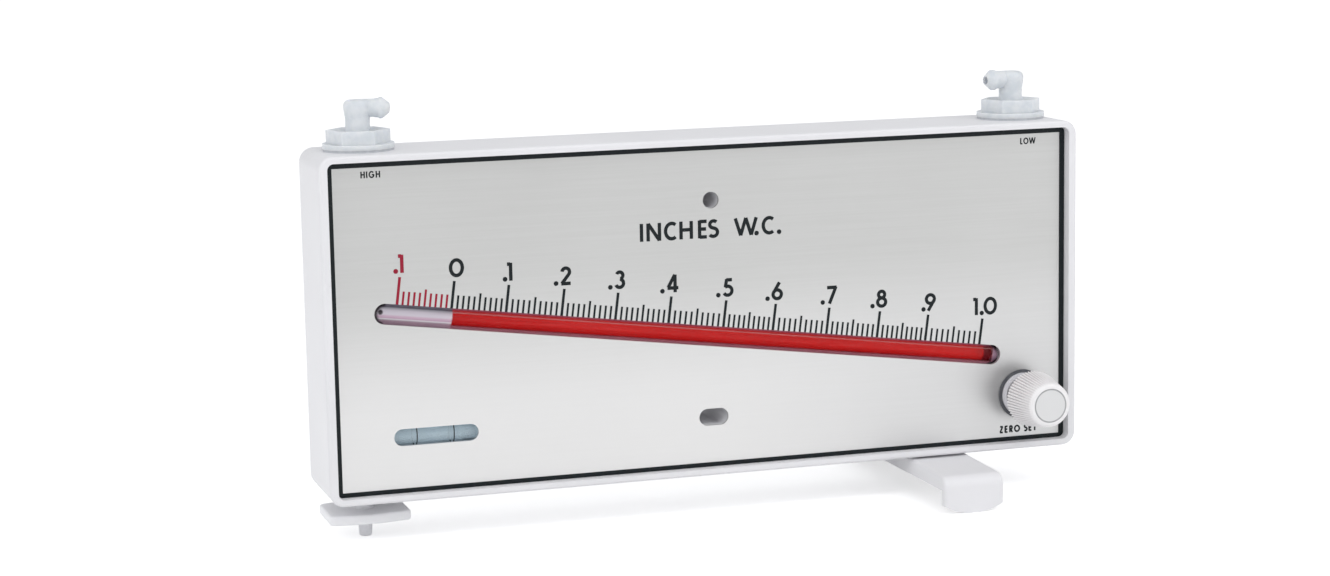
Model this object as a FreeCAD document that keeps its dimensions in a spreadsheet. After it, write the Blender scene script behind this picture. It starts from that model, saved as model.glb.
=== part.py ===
# Inclined-tube manometer on a levelling stand.
# The origin is on the table, under the middle of the case.
# X runs to the right along the case, Y away from the reader and Z up. Sizes are in millimetres.
import FreeCAD, Part
import math
import os

import Sketcher

DOC = FreeCAD.newDocument("inclined_manometer")
SHEET = DOC.addObject("Spreadsheet::Sheet", "Sizes")

# Driving dimensions: a name and a plain number each.
SIZES = [
    # Case moulding
    ("case_width", 247.2),
    ("case_height", 106.6),
    ("case_depth", 34.0),
    ("case_base", 13.15),
    ("case_corner", 4.6),
    ("case_wall", 2.8),
    ("case_front_round", 1.0),
    ("case_back_round", 2.0),
    ("recess_depth", 3.5),
    ("rim_side", 2.7),
    ("rim_top", 2.15),
    ("recess_corner", 2.0),
    ("web_thick", 2.6),
    ("cover_thick", 2.4),
    ("cover_gap", 0.15),
    ("cover_screw_end", 59.6),
    ("cover_screw_in", 10.3),
    ("cover_boss", 3.6),
    # Scale plate and its windows, placed from the middle of the case
    ("plate_thick", 1.0),
    ("plate_gap", 0.1),
    ("hole_radius", 2.6),
    ("hole_in", 19.7),
    ("hole_wall", 2.4),
    ("slot_length", 9.65),
    ("slot_width", 5.4),
    ("slot_up", 18.1),
    ("tilt", 7.6),
    ("window_in", 19.85),
    ("window_width", 6.4),
    ("window_left", 4.61),
    ("window_down", 8.79),
    ("level_length", 26.4),
    ("level_width", 5.25),
    ("level_in", 34.2),
    ("level_up", 19.4),
    # Indicating tube and its oil
    ("tube_radius", 4.0),
    ("tube_bore", 2.75),
    ("tube_gap", 0.8),
    ("tube_past_window", 4.6),
    ("tube_past_well", 2.4),
    ("zero_mark_in", 23.65),
    ("seal_thick", 1.6),
    ("socket_gap", 0.05),
    ("clip_out", 52.0),
    ("clip_wide", 8.0),
    ("clip_thick", 1.5),
    ("clip_deep", 3.3),
    ("trough_wall", 1.6),
    # Upper port block
    ("port_wide", 19.0),
    ("port_deep", 18.0),
    ("port_duct", 2.0),
    ("port_column_up", 12.55),
    ("port_foot_in", 9.9),
    ("port_foot_up", 5.55),
    ("port_foot_wide", 12.4),
    ("port_foot_deep", 12.5),
    ("port_foot_tall", 20.0),
    ("socket_deep", 9.5),
    # Oil well
    ("well_bore", 7.9),
    ("well_wall", 2.1),
    ("well_away", 2.5),
    ("well_nose_gap", 2.1),
    ("well_level_up", 1.8),
    ("riser_radius", 1.2),
    ("spigot_deep", 2.0),
    ("well_floor_down", 29.0),
    ("well_bottom_down", 45.0),
    ("well_nose_down", 14.0),
    ("well_top_up", 14.0),
    ("cap_thick", 3.0),
    ("cap_neck", 7.2),
    # Zero-set plunger and knob
    ("zero_in", 17.72),
    ("zero_down", 35.78),
    ("sleeve_radius", 7.1),
    ("sleeve_out", 1.7),
    ("sleeve_mouth", 6.1),
    ("sleeve_mouth_deep", 1.2),
    ("plunger_thread", 5.0),
    ("plunger_thread_long", 16.0),
    ("plunger_nose", 4.2),
    ("plunger_nose_long", 8.4),
    ("plunger_stem", 3.4),
    ("plunger_travel", 3.0),
    ("plunger_ring_back", 1.5),
    ("riser_room", 3.6),
    ("ring_section", 0.58),
    ("ring_proud", 0.02),
    ("running_gap", 0.05),
    ("zero_ring_radius", 8.1),
    ("ring_thick", 1.5),
    ("knob_gap", 8.5),
    ("knob_long", 13.5),
    ("knob_back", 9.15),
    ("knob_front", 7.0),
    ("knob_wall", 1.7),
    ("knob_hub", 5.3),
    ("knob_skirt_deep", 8.6),
    ("knob_front_round", 1.6),
    ("flute_count", 56),
    ("flute_deep", 0.5),
    ("flute_end_deep", 0.08),
    ("knob_cap_radius", 5.25),
    ("knob_cap_thick", 1.2),
    ("knob_cap_gap", 0.1),
    ("knob_end_wall", 1.2),
    # Tubing connectors
    ("port_in", 15.7),
    ("gasket_radius", 10.8),
    ("gasket_thick", 0.7),
    ("flange_radius", 11.0),
    ("flange_thick", 1.5),
    ("hex_flats", 17.0),
    ("hex_high", 4.1),
    ("hex_dish", 0.8),
    ("dish_rim", 7.6),
    ("dish_floor", 5.0),
    ("high_nut_turn", -11.0),
    ("low_nut_turn", -9.0),
    ("bush_thread", 4.9),
    ("bush_long", 12.0),
    ("elbow_stem", 3.8),
    ("elbow_stem_long", 9.0),
    ("elbow_ring_up", 3.0),
    ("elbow_head", 4.25),
    ("elbow_head_round", 1.9),
    ("elbow_rise", 9.0),
    ("elbow_neck", 3.2),
    ("elbow_axis_down", 2.6),
    ("elbow_bore", 1.3),
    ("barb_shank", 2.8),
    ("barb_ring", 3.3),
    ("barb_ring_long", 0.9),
    ("barb_ring_out", 6.6),
    ("barb_flare", 3.05),
    ("barb_flare_long", 2.0),
    ("barb_tip", 1.7),
    ("barb_cone", 2.3),
    ("barb_nose", 0.25),
    ("high_elbow_turn", 16.0),
    ("low_elbow_turn", 10.0),
    # Spirit level
    ("vial_radius", 4.1),
    ("vial_bore", 2.9),
    ("vial_length", 33.0),
    ("vial_floor", 2.0),
    ("bubble_long", 9.6),
    ("bubble_wide", 3.6),
    ("bubble_deep", 1.9),
    ("plug_long", 2.4),
    ("saddle_wide", 20.0),
    ("saddle_thick", 1.5),
    ("saddle_deep", 3.8),
    # Levelling screw
    ("level_screw_in", 13.8),
    ("finger_width", 25.4),
    ("finger_depth", 22.4),
    ("finger_bulge", 2.0),
    ("finger_corner", 1.8),
    ("finger_thick", 3.1),
    ("finger_round", 0.7),
    ("finger_up", 5.8),
    ("screw_radius", 3.0),
    ("screw_long", 14.0),
    ("tip_radius", 2.25),
    ("tip_flat", 1.3),
    ("tip_low", 2.0),
    ("tip_socket", 2.0),
    ("bush_radius", 5.2),
    ("bush_flange", 7.0),
    ("bush_flange_thick", 0.8),
    ("bush_tall", 10.0),
    # Right-hand foot
    ("foot_in", 47.3),
    ("foot_width", 20.2),
    ("foot_reach", 42.8),
    ("foot_drop", 0.6),
    ("foot_slope", 0.75),
    ("foot_web", 2.2),
    ("foot_flange", 5.2),
    ("foot_wall", 2.2),
    ("foot_lip", 2.5),
    ("foot_bend", 3.8),
    ("foot_corner_up", 2.6),
    ("foot_land", 2.0),
    ("foot_curve_out", 6.5),
    ("foot_curve_up", 0.9),
    ("foot_pad_long", 24.0),
    ("foot_screw_out", 8.0),
    ("foot_screw_boss", 3.8),
    ("foot_boss_tall", 8.0),
    ("foot_edge_round", 1.1),
    # Self-tapping screws
    ("fastener_shank", 1.5),
    ("fastener_head", 2.8),
    ("fastener_head_high", 1.9),
    ("fastener_long", 8.0),
    ("fastener_slot", 0.7),
]
for row, (alias, number) in enumerate(SIZES, start=1):
    SHEET.set(f"A{row}", alias)
    SHEET.set(f"B{row}", str(number))
    SHEET.setAlias(f"B{row}", alias)
DOC.recompute()

V = FreeCAD.Vector
ACROSS, AWAY, UP = V(1, 0, 0), V(0, 1, 0), V(0, 0, 1)


def size(alias):
    """A driving dimension as a number."""
    return float(SHEET.get(alias))


def formula(words):
    """Puts the sheet's name before each alias in a sum such as "case_width / 2"."""
    known = {alias for alias, number in SIZES}
    parts = words.replace("(", " ( ").replace(")", " ) ").split()
    return " ".join("Sizes." + part if part in known else part for part in parts)


def bind(thing, path, words):
    thing.setExpression(path, formula(words))


def value(words):
    """The number that a sum of driving dimensions gives."""
    answer = SHEET.evalExpression(formula(words))
    return float(getattr(answer, "Value", answer))


# Heights of the case's middle and top, and the depths of its walls, as sums.
MIDDLE = "( case_base + case_height / 2 )"
TOP = "( case_base + case_height )"
PLATE_BACK_Y = "( recess_depth + plate_thick - case_depth / 2 )"
WEB_BACK_Y = "( recess_depth + plate_thick + web_thick - case_depth / 2 )"
TUBE_Y = "( recess_depth + plate_thick + tube_gap + tube_radius - case_depth / 2 )"
ZERO_Z = "( case_base + case_height / 2 - zero_down )"
KNOB_BACK = "( recess_depth - case_depth / 2 - knob_gap )"
KNOB_FRONT = "( recess_depth - case_depth / 2 - knob_gap - knob_long )"
VIAL_Y = "( recess_depth + plate_thick + tube_gap / 2 + vial_radius - case_depth / 2 )"
TUBE_FLOOR_Y = (
    "( recess_depth + plate_thick + tube_gap + 2 * tube_radius + clip_thick - case_depth / 2 )"
)
VIAL_FLOOR_Y = (
    "( recess_depth + plate_thick + tube_gap / 2 + 2 * vial_radius + saddle_thick - case_depth / 2 )"
)
VIAL_Z = "( case_base + level_up )"
NUT_TOP = "( case_base + case_height + gasket_thick + flange_thick + hex_high )"
BARB_Z = "( case_base + case_height + gasket_thick + flange_thick + hex_high + elbow_rise - elbow_axis_down )"

# Places across the case and up from its middle, taken from its nearest end, top or bottom.
PORT_X = "( case_width / 2 - port_in )"
PORT_FOOT_X = "( port_foot_in - case_width / 2 )"
ZERO_X = "( case_width / 2 - zero_in )"
LEVEL_X = "( level_in - case_width / 2 )"
LEVEL_UP = "( level_up - case_height / 2 )"
LEVEL_SCREW_X = "( level_screw_in - case_width / 2 )"
FOOT_X = "( case_width / 2 - foot_in )"
HOLE_UP = "( case_height / 2 - hole_in )"
SLOT_UP = "( slot_up - case_height / 2 )"
COVER_SCREW_X = "( case_width / 2 - cover_screw_end )"
COVER_SCREW_UP = "( case_height / 2 - cover_screw_in )"
WINDOW_LONG = "( case_width - 2 * window_in )"
OIL_LEFT = "( zero_mark_in + window_in - case_width / 2 )"

# The zero-set sleeve's face, the plunger's shoulder and end, and the riser behind it, as depths.
SLEEVE_Y = "( recess_depth - case_depth / 2 - sleeve_out )"
PLUNGER_SHOULDER = "( recess_depth - case_depth / 2 - knob_gap + plunger_thread_long )"
PLUNGER_END = "( recess_depth - case_depth / 2 - knob_gap + plunger_thread_long + plunger_nose_long )"
RISER_Y = (
    "( recess_depth - case_depth / 2 - knob_gap + plunger_thread_long + plunger_nose_long"
    " + plunger_travel + riser_room / 2 )"
)

# Ends of the tube, its oil and the seals, along the tube from the window's middle.
TUBE_LEFT = f"( 0 - {WINDOW_LONG} / 2 - tube_past_window )"
TUBE_RIGHT = f"( {WINDOW_LONG} / 2 + tube_past_well )"


def new_body(label):
    body = DOC.addObject("PartDesign::Body", label)
    body.Label = label
    return body


def place(thing, across="0", away="0", up="0"):
    bind(thing, "Placement.Base.x", across)
    bind(thing, "Placement.Base.y", away)
    bind(thing, "Placement.Base.z", up)
    return thing


def turn(thing, axis, words):
    thing.Placement = FreeCAD.Placement(thing.Placement.Base, FreeCAD.Rotation(axis, value(words)))
    bind(thing, "Placement.Rotation.Angle", words)
    return thing


def new_sketch(body, role, offset="0"):
    sketch = body.newObject("Sketcher::SketchObject", body.Name + "_sketch")
    plane = next(item for item in body.Origin.OriginFeatures if item.Role == role)
    sketch.AttachmentSupport = [(plane, "")]
    sketch.MapMode = "FlatFace"
    bind(sketch, "AttachmentOffset.Base.z", offset)
    return sketch


def tube_sketch(body, offset="0"):
    """A sketch centred on the tube's window and turned to the tube's slope."""
    sketch = new_sketch(body, "XZ_Plane", offset)
    bind(sketch, "AttachmentOffset.Base.x", "0 - window_left")
    bind(sketch, "AttachmentOffset.Base.y", "0 - window_down")
    sketch.AttachmentOffset.Rotation.Axis = UP
    bind(sketch, "AttachmentOffset.Rotation.Angle", "0 - tilt")
    return sketch


def hold(sketch, constraint, words):
    number = sketch.addConstraint(constraint)
    bind(sketch, f"Constraints[{number}]", words)


def pin_point(sketch, item, end, across, up):
    """Fixes one point of a sketch at two sums measured from its origin."""
    for kind, axis, words in (("DistanceX", -2, across), ("DistanceY", -1, up)):
        if words == "0":
            sketch.addConstraint(Sketcher.Constraint("PointOnObject", item, end, axis))
        else:
            hold(sketch, Sketcher.Constraint(kind, -1, 1, item, end, value(words)), words)


def outline(sketch, corners):
    """A closed outline of straight lines through corners given as pairs of sums."""
    points = [V(value(across), value(up), 0) for across, up in corners]
    count = len(points)
    for number in range(count):
        sketch.addGeometry(Part.LineSegment(points[number], points[(number + 1) % count]))
    for number in range(count):
        sketch.addConstraint(Sketcher.Constraint("Coincident", number, 2, (number + 1) % count, 1))
    for number, (across, up) in enumerate(corners):
        pin_point(sketch, number, 1, across, up)
    return sketch


def rectangle(sketch, width, height, across="0", up="0"):
    left, right = f"{across} - ( {width} ) / 2", f"{across} + ( {width} ) / 2"
    low, high = f"{up} - ( {height} ) / 2", f"{up} + ( {height} ) / 2"
    return outline(sketch, [(left, low), (right, low), (right, high), (left, high)])


def circle(sketch, radius, across="0", up="0"):
    centre = V(value(across), value(up), 0)
    item = sketch.addGeometry(Part.Circle(centre, UP, value(radius)))
    hold(sketch, Sketcher.Constraint("Radius", item, value(radius)), radius)
    pin_point(sketch, item, 3, across, up)
    return sketch


def stadium(sketch, length, width, across="0", up="0"):
    """A slot with round ends, along the sketch's first axis."""
    radius, half = value(width) / 2, (value(length) - value(width)) / 2
    middle = V(value(across), value(up), 0)
    left, right = middle - V(half, 0, 0), middle + V(half, 0, 0)
    end_left = sketch.addGeometry(
        Part.ArcOfCircle(Part.Circle(left, UP, radius), math.pi / 2, 3 * math.pi / 2)
    )
    low = sketch.addGeometry(Part.LineSegment(left - V(0, radius, 0), right - V(0, radius, 0)))
    end_right = sketch.addGeometry(
        Part.ArcOfCircle(Part.Circle(right, UP, radius), -math.pi / 2, math.pi / 2)
    )
    high = sketch.addGeometry(Part.LineSegment(right + V(0, radius, 0), left + V(0, radius, 0)))
    for first, second in ((end_left, low), (low, end_right), (end_right, high), (high, end_left)):
        sketch.addConstraint(Sketcher.Constraint("Tangent", first, 2, second, 1))
    hold(sketch, Sketcher.Constraint("Radius", end_left, radius), f"( {width} ) / 2")
    sketch.addConstraint(Sketcher.Constraint("Equal", end_left, end_right))
    reach = f"( {length} - {width} ) / 2"
    pin_point(sketch, end_left, 3, f"{across} - {reach}", up)
    pin_point(sketch, end_right, 3, f"{across} + {reach}", up)
    return sketch


def bowed(sketch, wide, deep, bulge):
    """A plate with two straight ends and two long sides that bow outwards."""
    half, reach, rise = value(wide) / 2, value(deep) / 2, value(bulge)
    radius_sum = f"( {wide} * {wide} / 4 + {bulge} * {bulge} ) / ( 2 * {bulge} )"
    radius = (half**2 + rise**2) / (2 * rise)
    angle = math.asin(half / radius)
    far, near = (Part.Circle(V(0, side * (reach - radius), 0), UP, radius) for side in (1, -1))
    back = sketch.addGeometry(Part.ArcOfCircle(far, math.pi / 2 - angle, math.pi / 2 + angle))
    front = sketch.addGeometry(Part.ArcOfCircle(near, 3 * math.pi / 2 - angle, 3 * math.pi / 2 + angle))
    corner = reach - rise
    left = sketch.addGeometry(Part.LineSegment(V(-half, corner, 0), V(-half, -corner, 0)))
    right = sketch.addGeometry(Part.LineSegment(V(half, -corner, 0), V(half, corner, 0)))
    for first, second in ((back, left), (left, front), (front, right), (right, back)):
        sketch.addConstraint(Sketcher.Constraint("Coincident", first, 2, second, 1))
    pin_point(sketch, back, 3, "0", f"{deep} / 2 - {radius_sum}")
    pin_point(sketch, front, 3, "0", f"{radius_sum} - {deep} / 2")
    for side in (back, front):
        hold(sketch, Sketcher.Constraint("Radius", side, radius), radius_sum)
    for line, across in ((left, f"0 - {wide} / 2"), (right, f"{wide} / 2")):
        for end in (1, 2):
            hold(sketch, Sketcher.Constraint("DistanceX", -1, 1, line, end, value(across)), across)
    return sketch


def finish_feature(body, feature):
    DOC.recompute()
    body.Tip = feature
    return feature


def pad(body, sketch, length, both=False, back=False):
    feature = body.newObject("PartDesign::Pad", body.Name + "_pad")
    feature.Profile = sketch
    feature.Midplane = both
    feature.Reversed = back
    bind(feature, "Length", length)
    return finish_feature(body, feature)


def pocket(body, sketch, length=None, back=False):
    """Cuts a sketch against its normal, or along it where back is set, and tests that it cut."""
    before = body.Shape.Volume
    feature = body.newObject("PartDesign::Pocket", body.Name + "_pocket")
    feature.Profile = sketch
    feature.Reversed = back
    if length is None:
        feature.Type = "ThroughAll"
        feature.Midplane = True
    else:
        bind(feature, "Length", length)
    finish_feature(body, feature)
    if body.Shape.Volume > before - 1e-3:
        raise RuntimeError(f"a pocket of {body.Label} cut nothing")
    return feature


def revolve(body, sketch):
    feature = body.newObject("PartDesign::Revolution", body.Name + "_revolve")
    feature.Profile = sketch
    feature.ReferenceAxis = (sketch, ["V_Axis"])
    feature.Angle = 360
    return finish_feature(body, feature)


def edges_where(shape, test):
    return [f"Edge{number}" for number, edge in enumerate(shape.Edges, start=1) if test(edge)]


def runs_along(edge, axis):
    if edge.Curve.TypeId != "Part::GeomLine":
        return False
    return abs(abs(edge.Curve.Direction.dot(axis)) - 1) < 1e-6


def fillet(body, radius, test):
    """Rounds the edges of a body's last feature that pass a test."""
    base = body.Tip
    names = edges_where(base.Shape, test)
    if not names:
        raise RuntimeError(f"no edge of {body.Label} to round")
    feature = body.newObject("PartDesign::Fillet", body.Name + "_fillet")
    feature.Base = (base, names)
    bind(feature, "Radius", radius)
    return finish_feature(body, feature)


def cylinder(name, radius, height, across="0", away="0", up="0", along=UP):
    """A round bar from a point, along the given axis."""
    bar = DOC.addObject("Part::Cylinder", name)
    bind(bar, "Radius", radius)
    bind(bar, "Height", height)
    bar.Placement = FreeCAD.Placement(V(0, 0, 0), FreeCAD.Rotation(UP, along))
    return place(bar, across, away, up)


def cone(name, low_radius, high_radius, height, across="0", away="0", up="0", along=UP):
    shape = DOC.addObject("Part::Cone", name)
    bind(shape, "Radius1", low_radius)
    bind(shape, "Radius2", high_radius)
    bind(shape, "Height", height)
    shape.Placement = FreeCAD.Placement(V(0, 0, 0), FreeCAD.Rotation(UP, along))
    return place(shape, across, away, up)


def box(name, wide, deep, high, across="0", away="0", up="0"):
    """A block from its lowest corner."""
    block = DOC.addObject("Part::Box", name)
    bind(block, "Length", wide)
    bind(block, "Width", deep)
    bind(block, "Height", high)
    return place(block, across, away, up)


def torus(name, ring, thick, across="0", away="0", up="0", along=UP):
    loop = DOC.addObject("Part::Torus", name)
    bind(loop, "Radius1", ring)
    bind(loop, "Radius2", thick)
    loop.Placement = FreeCAD.Placement(V(0, 0, 0), FreeCAD.Rotation(UP, along))
    return place(loop, across, away, up)


def join(name, pieces):
    whole = DOC.addObject("Part::MultiFuse", name)
    whole.Shapes = pieces
    whole.Refine = True
    return whole


def cut(name, base, tools):
    tool = tools[0] if len(tools) == 1 else join(name + "_tools", tools)
    result = DOC.addObject("Part::Cut", name)
    result.Base = base
    result.Tool = tool
    return result


def bar_between(name, radius, start, end):
    """A round bar between two points, each given as three sums."""
    first, last = (V(*(value(words) for words in point)) for point in (start, end))
    bar = DOC.addObject("Part::Cylinder", name)
    bind(bar, "Radius", radius)
    bar.Height = (last - first).Length
    bar.Placement = FreeCAD.Placement(first, FreeCAD.Rotation(UP, last - first))
    return place(bar, *start)


def lies_round(edge, away, half_wide):
    """True for an edge of the outline of the case at one depth."""
    box_round = edge.BoundBox
    if abs(box_round.YMin - away) > 1e-4 or abs(box_round.YMax - away) > 1e-4:
        return False
    reach = max(abs(box_round.XMin), abs(box_round.XMax))
    tall = max(abs(box_round.ZMin), abs(box_round.ZMax))
    return reach > half_wide or tall > size("case_height") / 2 - 0.01


def group(name, pieces):
    """Separate solids that share one node."""
    together = DOC.addObject("Part::Compound", name)
    together.Links = pieces
    together.Label = name
    return together


def lay_on_tube(thing):
    """Moves a piece made round the X axis to the sloping tube, which falls to the right."""
    thing.Placement = FreeCAD.Placement(V(0, 0, 0), FreeCAD.Rotation(AWAY, size("tilt")))
    bind(thing, "Placement.Rotation.Angle", "tilt")
    return place(thing, "- window_left", TUBE_Y, f"{MIDDLE} - window_down")


# Case: a moulded shell with a raised rim round the plate, a web behind the plate and an open back.
def make_case():
    case = new_body("case_shell")
    pad(case, rectangle(new_sketch(case, "XZ_Plane"), "case_width", "case_height"), "case_depth", both=True)
    fillet(case, "case_corner", lambda edge: runs_along(edge, AWAY))

    recess = new_sketch(case, "XZ_Plane", "case_depth / 2")
    rectangle(recess, "case_width - 2 * rim_side", "case_height - 2 * rim_top")
    pocket(case, recess, "recess_depth + plate_thick")
    inner_x = size("case_width") / 2 - size("rim_side")
    fillet(
        case,
        "recess_corner",
        lambda edge: runs_along(edge, AWAY) and abs(abs(edge.CenterOfMass.x) - inner_x) < 0.01,
    )

    hollow = new_sketch(case, "XZ_Plane", "- case_depth / 2")
    rectangle(hollow, "case_width - 2 * case_wall", "case_height - 2 * case_wall")
    pocket(case, hollow, "case_depth - recess_depth - plate_thick - web_thick", back=True)
    hollow_x = size("case_width") / 2 - size("case_wall")
    fillet(
        case,
        "recess_corner",
        lambda edge: runs_along(edge, AWAY) and abs(abs(edge.CenterOfMass.x) - hollow_x) < 0.01,
    )

    # Bosses for the two mounting screws and for the cover's four screws, up to the cover's inside.
    boss_tall = "case_depth - recess_depth - plate_thick - web_thick - cover_thick"
    web_back = "case_depth / 2 - recess_depth - plate_thick - web_thick"
    bosses = new_sketch(case, "XZ_Plane", web_back)
    circle(bosses, "hole_radius + hole_wall", "0", HOLE_UP)
    for side in ("-", "+"):
        for level in ("-", "+"):
            circle(bosses, "cover_boss", f"0 {side} {COVER_SCREW_X}", f"0 {level} {COVER_SCREW_UP}")
    pad(case, bosses, boss_tall, back=True)
    slot_boss = new_sketch(case, "XZ_Plane", web_back)
    stadium(slot_boss, "slot_length + 2 * hole_wall", "slot_width + 2 * hole_wall", "0", SLOT_UP)
    pad(case, slot_boss, boss_tall, back=True)

    # Troughs behind the web that hold the tube and the spirit level.
    tube_long, tube_wide = f"{WINDOW_LONG} + 2 * tube_past_window", "2 * tube_radius + 2 * cover_gap"
    trough = tube_sketch(case, web_back)
    stadium(trough, f"{tube_long} + 2 * trough_wall", f"{tube_wide} + 2 * trough_wall")
    pad(case, trough, f"{TUBE_FLOOR_Y} - {WEB_BACK_Y} + trough_wall", back=True)
    level_long, level_tall = "vial_length + 2 * cover_gap", "2 * vial_radius + 2 * cover_gap"
    level_spot = (LEVEL_X, LEVEL_UP)
    bed = new_sketch(case, "XZ_Plane", web_back)
    rectangle(bed, f"{level_long} + 2 * trough_wall", f"{level_tall} + 2 * trough_wall", *level_spot)
    pad(case, bed, f"{VIAL_FLOOR_Y} - {WEB_BACK_Y} + trough_wall", back=True)

    # Holes through the web: mounting screws, tube, spirit level and the zero-set sleeve.
    screw_hole = new_sketch(case, "XZ_Plane")
    pocket(case, circle(screw_hole, "hole_radius", "0", HOLE_UP))
    screw_slot = new_sketch(case, "XZ_Plane")
    pocket(case, stadium(screw_slot, "slot_length", "slot_width", "0", SLOT_UP))
    level_hole = new_sketch(case, "XZ_Plane", f"0 - {VIAL_FLOOR_Y}")
    rectangle(level_hole, level_long, level_tall, *level_spot)
    pocket(case, level_hole, "case_depth / 2", back=True)
    tube_hole = tube_sketch(case, f"0 - {TUBE_FLOOR_Y}")
    pocket(case, stadium(tube_hole, tube_long, tube_wide), "case_depth / 2", back=True)

    # Openings in the web for the port block's foot and the well block's nose.
    port_hole = new_sketch(case, "XZ_Plane")
    foot_wide, foot_tall = "port_foot_wide + 2 * cover_gap", "port_foot_tall + 2 * cover_gap"
    rectangle(port_hole, foot_wide, foot_tall, PORT_FOOT_X, "port_foot_up")
    pocket(case, port_hole, "case_depth / 2 - recess_depth", back=True)
    well_hole = new_sketch(case, "XZ_Plane")
    nose_wide = "2 * well_bore + 2 * well_wall + 2 * cover_gap"
    nose_tall = "well_bottom_down - well_nose_down + 2 * cover_gap"
    nose_middle = "0 - ( well_bottom_down + well_nose_down ) / 2"
    rectangle(well_hole, nose_wide, nose_tall, PORT_X, nose_middle)
    pocket(case, well_hole, "case_depth / 2 - recess_depth", back=True)

    # Bottom wall: bosses for the stand's screws and for the levelling screw's bush.
    floor = "case_wall - case_height / 2"
    feet = new_sketch(case, "XY_Plane", floor)
    for side in ("-", "+"):
        circle(feet, "foot_screw_boss", FOOT_X, f"0 {side} foot_screw_out")
    pad(case, feet, "foot_boss_tall")
    bush = new_sketch(case, "XY_Plane", floor)
    circle(bush, "bush_radius + hole_wall", LEVEL_SCREW_X, "0")
    pad(case, bush, "bush_tall - case_wall")
    bush_hole = new_sketch(case, "XY_Plane", "0 - case_height / 2")
    circle(bush_hole, "bush_radius", LEVEL_SCREW_X, "0")
    pocket(case, bush_hole, "bush_tall", back=True)
    pilots = new_sketch(case, "XY_Plane", "0 - case_height / 2")
    for side in ("-", "+"):
        circle(pilots, "fastener_shank", FOOT_X, f"0 {side} foot_screw_out")
    pocket(case, pilots, "fastener_long - foot_web - foot_drop", back=True)

    # Top wall: a hole for each connector's threaded shank.
    ports = new_sketch(case, "XY_Plane", "case_height / 2")
    for side in ("-", "+"):
        circle(ports, "bush_thread", f"0 {side} {PORT_X}", "0")
    pocket(case, ports, "case_wall")

    # Blind holes for the cover's screws, from the back.
    threads = new_sketch(case, "XZ_Plane", "cover_thick - case_depth / 2")
    for side in ("-", "+"):
        for level in ("-", "+"):
            circle(threads, "fastener_shank", f"0 {side} {COVER_SCREW_X}", f"0 {level} {COVER_SCREW_UP}")
    pocket(case, threads, "fastener_long - cover_thick + fastener_head_high", back=True)

    front = -size("case_depth") / 2
    half_wide = size("case_width") / 2 - 0.01
    fillet(case, "case_front_round", lambda edge: lies_round(edge, front, half_wide))
    fillet(case, "case_back_round", lambda edge: lies_round(edge, -front, half_wide))
    return place(case, up=MIDDLE)


# Back cover: a flat plate let into the open back, with its four screws.
def make_cover():
    cover = new_body("back_cover")
    face = new_sketch(cover, "XZ_Plane", "0 - case_depth / 2")
    wide = "case_width - 2 * case_wall - 2 * cover_gap"
    tall = "case_height - 2 * case_wall - 2 * cover_gap"
    pad(cover, rectangle(face, wide, tall), "cover_thick")
    fillet(cover, "recess_corner - cover_gap", lambda edge: runs_along(edge, AWAY))
    holes = new_sketch(cover, "XZ_Plane")
    circle(holes, "hole_radius", "0", HOLE_UP)
    stadium(holes, "slot_length", "slot_width", "0", SLOT_UP)
    seats = new_sketch(cover, "XZ_Plane", "0 - case_depth / 2")
    for side in ("-", "+"):
        for level in ("-", "+"):
            spot = (f"0 {side} {COVER_SCREW_X}", f"0 {level} {COVER_SCREW_UP}")
            circle(holes, "fastener_shank", *spot)
            circle(seats, "fastener_head + cover_gap", *spot)
    pocket(cover, holes)
    pocket(cover, seats, "fastener_head_high", back=True)
    return place(cover, up=MIDDLE)


def make_screw(name, across, away, up, along):
    """A slotted screw whose head bears on the given point."""
    shank = cylinder(name + "_shank", "fastener_shank", "fastener_long")
    head = cylinder(name + "_head", "fastener_head", "fastener_head_high", up="0 - fastener_head_high")
    slot_corner = ("0 - fastener_head", "0 - fastener_slot / 2", "0 - fastener_head_high")
    slot = box(name + "_slot", "2 * fastener_head", "fastener_slot", "fastener_slot", *slot_corner)
    screw = cut(name, join(name + "_blank", [shank, head]), [slot])
    screw.Placement = FreeCAD.Placement(V(0, 0, 0), FreeCAD.Rotation(UP, along))
    return place(screw, across, away, up)


def make_cover_screws():
    seat = "case_depth / 2 - fastener_head_high"
    screws = []
    for side in ("-", "+"):
        for level in ("-", "+"):
            across, up = f"0 {side} {COVER_SCREW_X}", f"{MIDDLE} {level} {COVER_SCREW_UP}"
            screws.append(make_screw(f"cover_screw{len(screws)}", across, seat, up, -AWAY))
    return group("cover_screws", screws)


# Scale plate: a thin sheet with the two mounting holes, the two windows and the knob's hole.
def make_plate():
    plate = new_body("scale_plate")
    face = new_sketch(plate, "XZ_Plane", "case_depth / 2 - recess_depth - plate_thick")
    wide = "case_width - 2 * rim_side - 2 * plate_gap"
    tall = "case_height - 2 * rim_top - 2 * plate_gap"
    pad(plate, rectangle(face, wide, tall), "plate_thick")
    fillet(plate, "recess_corner - plate_gap", lambda edge: runs_along(edge, AWAY))
    holes = new_sketch(plate, "XZ_Plane")
    circle(holes, "hole_radius", "0", HOLE_UP)
    circle(holes, "zero_ring_radius", ZERO_X, "0 - zero_down")
    stadium(holes, "slot_length", "slot_width", "0", SLOT_UP)
    stadium(holes, "level_length", "level_width", LEVEL_X, LEVEL_UP)
    pocket(plate, holes)
    pocket(plate, stadium(tube_sketch(plate), WINDOW_LONG, "window_width"))
    return place(plate, up=MIDDLE)


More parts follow.
